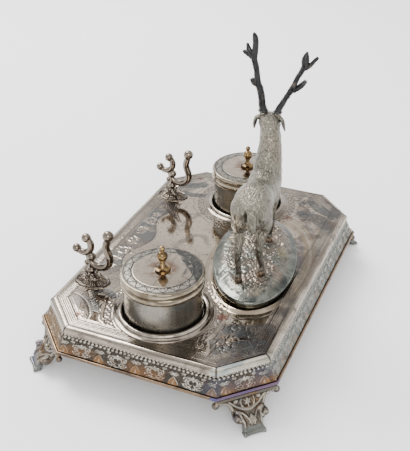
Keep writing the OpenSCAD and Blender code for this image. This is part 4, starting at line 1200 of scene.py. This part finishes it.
# Ground
def ground():
    """An oval wall with a bead round it, and a rough top with flat places for the hooves."""
    a = np.radians(np.linspace(-80, 80, 15))
    bead = np.stack([2.3 * (1 - np.cos(a)), 4.2 + 2.3 * np.sin(a)], -1)
    slope = [(3.2, 0.68 * GROUND_H), (6, 0.79 * GROUND_H), (9, 0.93 * GROUND_H), (11.5, GROUND_H)]
    wall = catmull(np.vstack([[(2.7, 0), (2.7, 1.4)], bead, slope]), 3)
    n_top, n_round = 60, 360
    inset = np.concatenate([wall[:, 0], np.full(n_top, 11.5)])
    z = np.concatenate([wall[:, 1], np.full(n_top, GROUND_H)])
    shrink = np.concatenate([np.ones(len(wall)), np.linspace(1, 0.004, n_top)])
    t = around(n_round)[:, None]
    x = (GROUND_A - inset) * np.cos(t) * shrink
    y = (GROUND_B - inset) * np.sin(t) * shrink

    def cloud(size, shift=0.0, octaves=2):
        return noise(x / size + shift, y / size + shift, z / size + shift, octaves)

    inner = smoothstep(3.4, 8.0, inset)
    ridge = 1 - 4 * np.abs(cloud(10, 7) - 0.5)
    curls = np.sin(x * 1.1 + 19.2 * cloud(13.75, 3)) * np.sin(y * 1.2 + 18 * cloud(13.75, 31))
    relief = 1.5 * (cloud(5.5, 0, 3) - 0.5) + 0.30 * ridge + 0.42 * smoothstep(0.1, 0.6, curls)
    relief = inner * (relief + 0.5 * (cloud(1.3) - 0.5))
    for limb in LEGS:
        hx, hy = turn(*limb[-1][:2], 180 + STAG_TURN)
        hx, hy = turn(hx + STAG_AT[0] - GROUND_AT[0], hy + STAG_AT[1] - GROUND_AT[1], -GROUND_TURN)
        q = np.hypot(x - hx, y - hy)
        relief = relief * smoothstep(2.5, 6, q) + 0.12 * (q < 5)
    v = points(x, y, z + np.clip(relief, -0.9, 0.9))
    return v, grid_faces(n_round, len(inset), wrap_u=True), {"inner": np.broadcast_to(inner, x.shape)}


def ground_material():
    n = Nodes("ground_rocky")
    h, inner = n.attr("hollow"), n.attr("inner")
    big, mid = n.noise(46, 4, 0.62, distort=0.8), n.noise(190, 4, 0.65)
    fine = n.noise(900, 2)
    rim = n.mix(n.step(big, 0.36, 0.6), (0.24, 0.25, 0.215), (0.075, 0.085, 0.08))
    top = n.mix(n.step(big, 0.4, 0.6), (0.22, 0.22, 0.19), (0.32, 0.25, 0.2))
    top = n.tone(top, (0.38, 0.32, 0.19), n.step(n.noise(75), 0.56, 0.66), 0.6)
    top = n.tone(top, (0.085, 0.09, 0.085), n.step(mid, 0.52, 0.68), 0.65)
    wob = n.mul(n.sub(mid, 0.5), 0.6)
    top = n.tone(top, (0.37, 0.34, 0.28), n.step(n.add(h, wob), -0.2, -0.6), 0.7)
    # Painted shade in the hollows of the rocks
    top = n.tone(top, (0.06, 0.06, 0.055), n.step(n.add(h, wob), 0.08, 0.45), 0.75)
    col = n.mix(inner, rim, top)
    rough = n.add(0.12, n.mul(inner, n.step(mid, 0.3, 0.7, 0.12, 0.34)))
    return n.finish(col, rough, n.bump(n.add(fine, mid), 0.3, 0.0004))


v, f, at = ground()
o = make("ground_cast", v, f, ground_material(), at)
hollows(o, 3, 2.5)
placed(o, *GROUND_AT, PLATE_Z + BOSS_H, GROUND_TURN)
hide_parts("ground")


# Pen rests
KNOT_Z, CRADLE_Z, CRADLE_R, CURL_R, ARM_BALL, ARM_H = 23.1, 24.1, 9.2, 7.2, 4.2, 20.7
ROSETTE_A, ROSETTE_B = 9.6, 14.2
STEM = [[0.01, 5.0], [3.6, 5.0], [3.4, 6.2], [2.2, 7.6], [2.0, 9.6], [3.3, 10.6], [3.5, 11.4], [3.2, 12.2],
        [2.1, 13.2], [2.2, 16.6], [0.01, 17.0]]
# Leaf beside the stem: distance out, height, half thickness and half width
STEM_LEAF = [[2.0, 4.6, 1.0, 1.6], [4.4, 7.4, 0.7, 2.0], [6.6, 8.6, 0.55, 1.7], [8.2, 7.6, 0.5, 1.0],
             [8.8, 6.4, 0.45, 0.5]]
ROSETTE_LINE = [[0.01, 0.0], [1.0, 0.0], [1.0, 0.7], [0.985, 1.15], [0.93, 1.35], [0.88, 1.15], [0.84, 0.9],
                [0.76, 1.2], [0.62, 2.0], [0.5, 2.6], [0.42, 2.8], [0.38, 3.4], [0.3, 4.6], [0.24, 5.6],
                [0.01, 5.7]]


def arc(y, z, r, start, end, n):
    a = np.radians(np.linspace(start, end, n))
    return points(0, y + r * np.cos(a), z + r * np.sin(a))


def pen_scroll():
    """The cradle and its arm, the C scroll, and the knotted stem among its leaves."""
    cradle_y = CRADLE_R - 2
    t = np.linspace(0.1, 1, 10)
    arm = points(0, cradle_y + CRADLE_R - 2.45 * np.sin(np.pi * t) ** 2, CRADLE_Z + ARM_H * t)
    line = np.vstack([arc(cradle_y, CRADLE_Z, CRADLE_R, 180, 360, 15), arm])
    share = np.linspace(0, 1, len(line))
    radii = np.interp(share, [0, 0.12, 0.35, 0.62, 0.85, 1], [2.1, 2.4, 2.8, 3.0, 2.8, 2.5])
    curl = arc(1 - CURL_R, KNOT_Z + CURL_R + 2.3, CURL_R, -139, 60, 16)
    curl_radii = np.interp(np.linspace(0, 1, 16), [0, 0.4, 0.75, 1], [2.2, 2.7, 2.7, 2.2])
    link = [[0, -4, KNOT_Z - 5.6], [0, -2.6, KNOT_Z - 8.2], [0, -0.6, KNOT_Z - 9.6]]
    parts = [tube(line, radii, 3, 24), ball(arm[-1], ARM_BALL, 18), tube(curl, curl_radii, 4, 24),
             ball(curl[0], 3.4, 16), ball(curl[-1], 3.6, 16), ball((0, 0.8, KNOT_Z), 3.3, 16),
             ball((0, -4, KNOT_Z - 6.2), 1.9, 12), tube(link, [1.2, 1.4, 1.2], 4, 16),
             lathe(catmull(STEM, 3))]
    for k in range(6):
        x, y = turn(1, 0, 60 * k + 30)
        stations = [[x * out, y * out, z, wide, thick] for out, z, thick, wide in STEM_LEAF]
        parts.append(loft(stations, 4, 16, (-y, x, 0)))
    return fused("pen_rest", parts, 0.36, 2)


def rosette():
    """A dish turned from its line, with nine petals round it."""
    p = catmull(ROSETTE_LINE, 4)
    n = 180
    t = around(n)
    share, z = p[:, 0, None], p[:, 1, None]
    petal = np.abs(np.sin(4.5 * t)) ** 0.6
    r = share * (1 + 0.05 * (petal - 0.7) * smoothstep(0.55, 1.0, share))
    mid = smoothstep(0.3, 0.45, share) * smoothstep(0.86, 0.72, share)
    z = z + mid * (0.75 * petal - 0.35) + 0.25 * mid * np.cos(36 * t) * smoothstep(0.4, 0.9, petal)
    v = points(r * np.cos(t) * ROSETTE_A, r * np.sin(t) * ROSETTE_B, z)
    return v, grid_faces(len(p), n, wrap_v=True)[:, ::-1]


rest_mat = cast_material("rest_cast", (0.62, 0.52, 0.42), (0.30, 0.25, 0.20), (0.045, 0.038, 0.033),
                         (0.07, 0.28), 130)
base_mat = cast_material("rosette_cast", (0.56, 0.45, 0.33), (0.15, 0.125, 0.10), (0.035, 0.03, 0.026),
                         (0.10, 0.3), 160)
rest = pen_scroll()
hollows(rest, 5, 1.6)
v, f = rosette()
for s, sx in (("right", 1), ("left", -1)):
    o = placed(twin(rest, "pen_rest_" + s), sx * REST_X, REST_Y, PLATE_Z, 0)
    finish_piece(o, rest_mat)
    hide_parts("pen_scroll_" + s)
    o = make("rest_rosette_" + s, v, f, base_mat)
    hollows(o, 3, 3)
    placed(o, sx * REST_X, REST_Y, PLATE_Z + 0.05, 0)
    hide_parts("rosette_" + s)
bpy.data.objects.remove(rest)


# Feet
FOOT_T, SHEET_MID = 4.2, 12.0
# The outside of a foot: how far out and how high, then its half width at some heights
FOOT_LINE = [[-1.2, 24.0], [-1.1, 21.4], [0.3, 17.4], [2.9, 13.8], [6.4, 10.9], [9.8, 8.6], [11.5, 5.8],
             [12.5, 3.6], [13.9, 2.2], [14.5, 1.2], [14.3, 0.0]]
FOOT_Z = [0, 1.6, 3.5, 6, 8, 9, 10.8, 12.6, 14, 16.6, 18, 19.2, 19.8, 24]
FOOT_W = [8.4, 8.5, 7.6, 7.0, 7.6, 9.8, 12.2, 12.2, 12, 13.5, 15.4, 18.6, 22.4, 22.9]


def foot_sheet():
    """The relief on a foot: scrolls under the bar, volutes, crossing straps, flowers and leaves."""
    s = Sheet(52, 30, 0.2, ["high"], True)

    def route(*stations):
        return np.array(stations) - (0, SHEET_MID)

    def curve(*stations):
        return catmull(route(*stations), 6)

    s.both("high", curve((22.3, 21.6), (18, 20.6), (13.6, 18), (11.6, 14.6)), [1.3] * 18 + [0.8], 0.9)
    s.both("high", spiral((11.2, 10.8 - SHEET_MID), 0, 2.6, 1, 1.2, 24), np.linspace(1.0, 0.5, 24))
    s.both("high", curve((10.4, 12.6), (7.6, 11.6), (6.2, 8.6), (6.4, 5.6)), 0.95, 0.95)
    s.both("high", curve((13.5, 20.4), (8.5, 16.2), (3.5, 14.2), (0, 13.8)), np.linspace(0.8, 1.2, 19), 0.9)
    s.both("high", curve((4.2, 20.8), (5.0, 17.5), (3.4, 14.6)), 0.7, 0.8)
    s.both("high", curve((9.6, 13.8), (5.8, 12.6), (2.4, 9.6), (1.2, 6.6)), 0.7, 0.85)
    for x, y, r in ((0, 17.8, 2.9), (8.4, 19.6, 1.7), (-8.4, 19.6, 1.7)):
        s.petals((x, y - SHEET_MID), r, 0.75, 0.9)
    for k in range(5):
        line, w = leaf((0, 11.5 - SHEET_MID), 230 + 20 * k, 5.4, 0.1, 8)
        s.stroke("high", line, w * 0.6 + 0.1, 0.8)
    s.both("high", route((7.6, 2.6), (7.4, 0.6)), 0.8, 0.7)
    s.stroke("high", route((-7, 1.4), (7, 1.4)), 0.9, 0.6)
    return s


def foot_skin(sheet):
    """The relief outside, a plain inside behind it, and a wall round the edge."""
    line = catmull(FOOT_LINE, 8)
    run = profile(line)[0]
    t = np.linspace(0, run[-1], 110)
    line = np.stack([np.interp(t, run, line[:, 0]), np.interp(t, run, line[:, 1])], -1)
    out, up = (part[:, None] for part in profile(line)[1:])
    x, z = line[:, 0, None], line[:, 1, None]
    u = np.linspace(-1, 1, 161)
    y = np.interp(z, FOOT_Z, FOOT_W) * u
    cup = 0.9 * smoothstep(4.5, 0, z) * u ** 2
    high = 1.15 * sheet.sample("high", y, np.broadcast_to(z - SHEET_MID, y.shape))
    lift = -0.25 + high - 0.7 * smoothstep(0.86, 1.0, np.abs(u)) + cup
    thick = FOOT_T * (0.55 + 0.45 * smoothstep(20, 12, z))
    front = points(x + out * lift, y, np.clip(z + up * lift, 0, None)).reshape(-1, 3)
    back = points(x - out * thick, y, np.maximum(z - up * thick, 0)).reshape(-1, 3)
    faces, m = grid_faces(*y.shape), len(front)
    index = np.arange(m).reshape(y.shape)
    edge = np.concatenate([index[0, :-1], index[:-1, -1], index[-1, :0:-1], index[:0:-1, 0]])
    after = np.roll(edge, -1)
    wall = np.stack([edge, after, after + m, edge + m], -1)
    return np.vstack([front, back]), np.vstack([faces, faces[:, ::-1] + m, wall]).tolist()


def foot():
    """One bracket foot with its bar, end balls and ears, fused and kept flat below and above."""
    sheet = foot_sheet()
    bar = [[-1.8, y, 22.3] for y in (-23, -10, 10, 23)]
    parts = [foot_skin(sheet), tube(bar, [1.85] * 4, 5, 20, (0, 0, 1))]
    for sy in (-1, 1):
        parts.append(ball((-1.8, sy * 22.8, 19.4), 2.6, 14))
        parts.append(ball((-1.5, sy * 19.4, 20.2), 1.7, 12))
        ear = [[3.4, sy * 10.4, 10.8], [6.4, sy * 10.6, 10.8], [8.8, sy * 10.3, 10.8]]
        parts.append(tube(ear, [2.3, 2.6, 2.0], 5, 20, (0, 0, 1)))
    o = fused("foot_cast", parts, 0.36, 1)
    v = coords(o)
    v[:, 2] = np.clip(v[:, 2], 0.0, 24.15)
    move(o, v)
    hollows(o, 4, 2.0)
    v, n = coords(o), normals(o)
    attribute(o, "high", sheet.sample("high", v[:, 1], v[:, 2] - SHEET_MID) * smoothstep(0.1, 0.5, n[:, 0]))
    return o


def foot_material():
    n = Nodes("foot_cast_plate")
    h, high = n.attr("hollow"), n.attr("high")
    z = n.xyz()[2]
    big, mid, fine = n.noise(60, distort=0.6), n.noise(210, 4, 0.65), n.noise(1200, 2)
    wob = n.mul(n.sub(mid, 0.5), 0.5)
    col = n.mix(n.step(big, 0.42, 0.62), (0.17, 0.15, 0.125), (0.22, 0.145, 0.09))
    col = n.tone(col, (0.38, 0.345, 0.285), n.step(n.add(high, wob), 0.35, 0.85))
    col = n.tone(col, (0.5, 0.46, 0.39), n.step(n.add(h, wob), -0.15, -0.6))
    toe = n.mul(n.step(z, 0.0075, 0.004), n.step(big, 0.3, 0.55, 0.4, 1.0))
    col = n.tone(col, (0.2, 0.235, 0.23), toe, 0.7)
    tint = n.mul(n.step(n.noise(45, 2, 0.5), 0.54, 0.64), 0.45)
    col = n.tone(col, (0.13, 0.14, 0.22), tint)
    # Painted shade in the hollows of the relief
    col = n.tone(col, (0.04, 0.036, 0.03), n.step(n.add(h, wob), 0.0, 0.3), 0.92)
    rough = n.add(0.2, n.mul(n.step(mid, 0.35, 0.7), 0.2))
    return n.finish(col, rough, n.bump(n.add(fine, mid), 0.25, 0.0004))


cast, foot_mat = foot(), foot_material()
for i, s in ((1, "front_right"), (3, "back_right"), (5, "back_left"), (7, "front_left")):
    a, b = side_line(i, GALLERY_OUT)
    o = placed(twin(cast, "foot_relief_" + s), *((a + b) / 2), 0, 45 * i - 90)
    finish_piece(o, foot_mat)
    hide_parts("foot_" + s)
bpy.data.objects.remove(cast)


# Stage
def plane(name, size, z):
    bm = bmesh.new()
    bmesh.ops.create_grid(bm, x_segments=1, y_segments=1, size=size)
    me = bpy.data.meshes.new(name)
    bm.to_mesh(me)
    bm.free()
    o = bpy.data.objects.new(name, me)
    o.location = (0, 0, z)
    bpy.context.collection.objects.link(o)
    return o


floor = plane("floor", 6, 0)
fm = Nodes("floor_paper")
paper = fm.mix(fm.noise(3, 3, 0.55), (0.85, 0.85, 0.855), (0.87, 0.87, 0.875))
floor.data.materials.append(fm.finish(paper, 0.9, None, 0.0))

world = bpy.data.worlds.new("studio")
bpy.context.scene.world = world
world.use_nodes = True
wt = world.node_tree
sky = wt.nodes.new("ShaderNodeValToRGB")
split = wt.nodes.new("ShaderNodeSeparateXYZ")
wt.links.new(wt.nodes.new("ShaderNodeTexCoord").outputs["Generated"], split.inputs[0])
wt.links.new(split.outputs["Z"], sky.inputs[0])
wt.links.new(sky.outputs[0], wt.nodes["Background"].inputs[0])
# Bright backdrop low down, a darker ceiling above it, a soft box overhead
stops = ((0.0, 0.70), (0.30, 0.90), (0.47, 0.80), (0.62, 0.56), (0.76, 0.50), (0.88, 1.0), (1.0, 1.0))
while len(sky.color_ramp.elements) < len(stops):
    sky.color_ramp.elements.new(0.5)
for e, (pos, v) in zip(sky.color_ramp.elements, stops):
    e.position, e.color = pos, (v, v, v, 1)
wt.nodes["Background"].inputs[1].default_value = 2.1


def area(name, at, to, size, power, colour=(1, 1, 1)):
    d = bpy.data.lights.new(name, "AREA")
    d.shape, d.size, d.size_y, d.energy, d.color = "RECTANGLE", size[0], size[1], power, colour
    o = bpy.data.objects.new(name, d)
    o.location = at
    o.rotation_euler = (Vector(to) - Vector(at)).to_track_quat("-Z", "Y").to_euler()
    bpy.context.collection.objects.link(o)


area("key", (-0.5, -0.9, 1.3), (0, 0, 0.05), (0.9, 0.9), 44)
area("fill", (1.2, 0.6, 0.9), (0, 0, 0.05), (0.8, 0.8), 14)

cam_data = bpy.data.cameras.new("camera")
cam = bpy.data.objects.new("camera", cam_data)
bpy.context.collection.objects.link(cam)
right, up, look = (-0.38994, 0.92084, 0.00143), (-0.4797, -0.20446, 0.85328), (-0.78602, -0.33204, -0.52146)
m = Matrix((right, up, [-v for v in look])).transposed().to_4x4()
m.translation = (0.50607, 0.20890, 0.36011 + PLATE_Z * MM)
cam.matrix_world = m
cam_data.sensor_width = 36
cam_data.lens = 803.07 * 36 / 451
cam_data.clip_start, cam_data.clip_end = 0.01, 50
bpy.context.scene.camera = cam
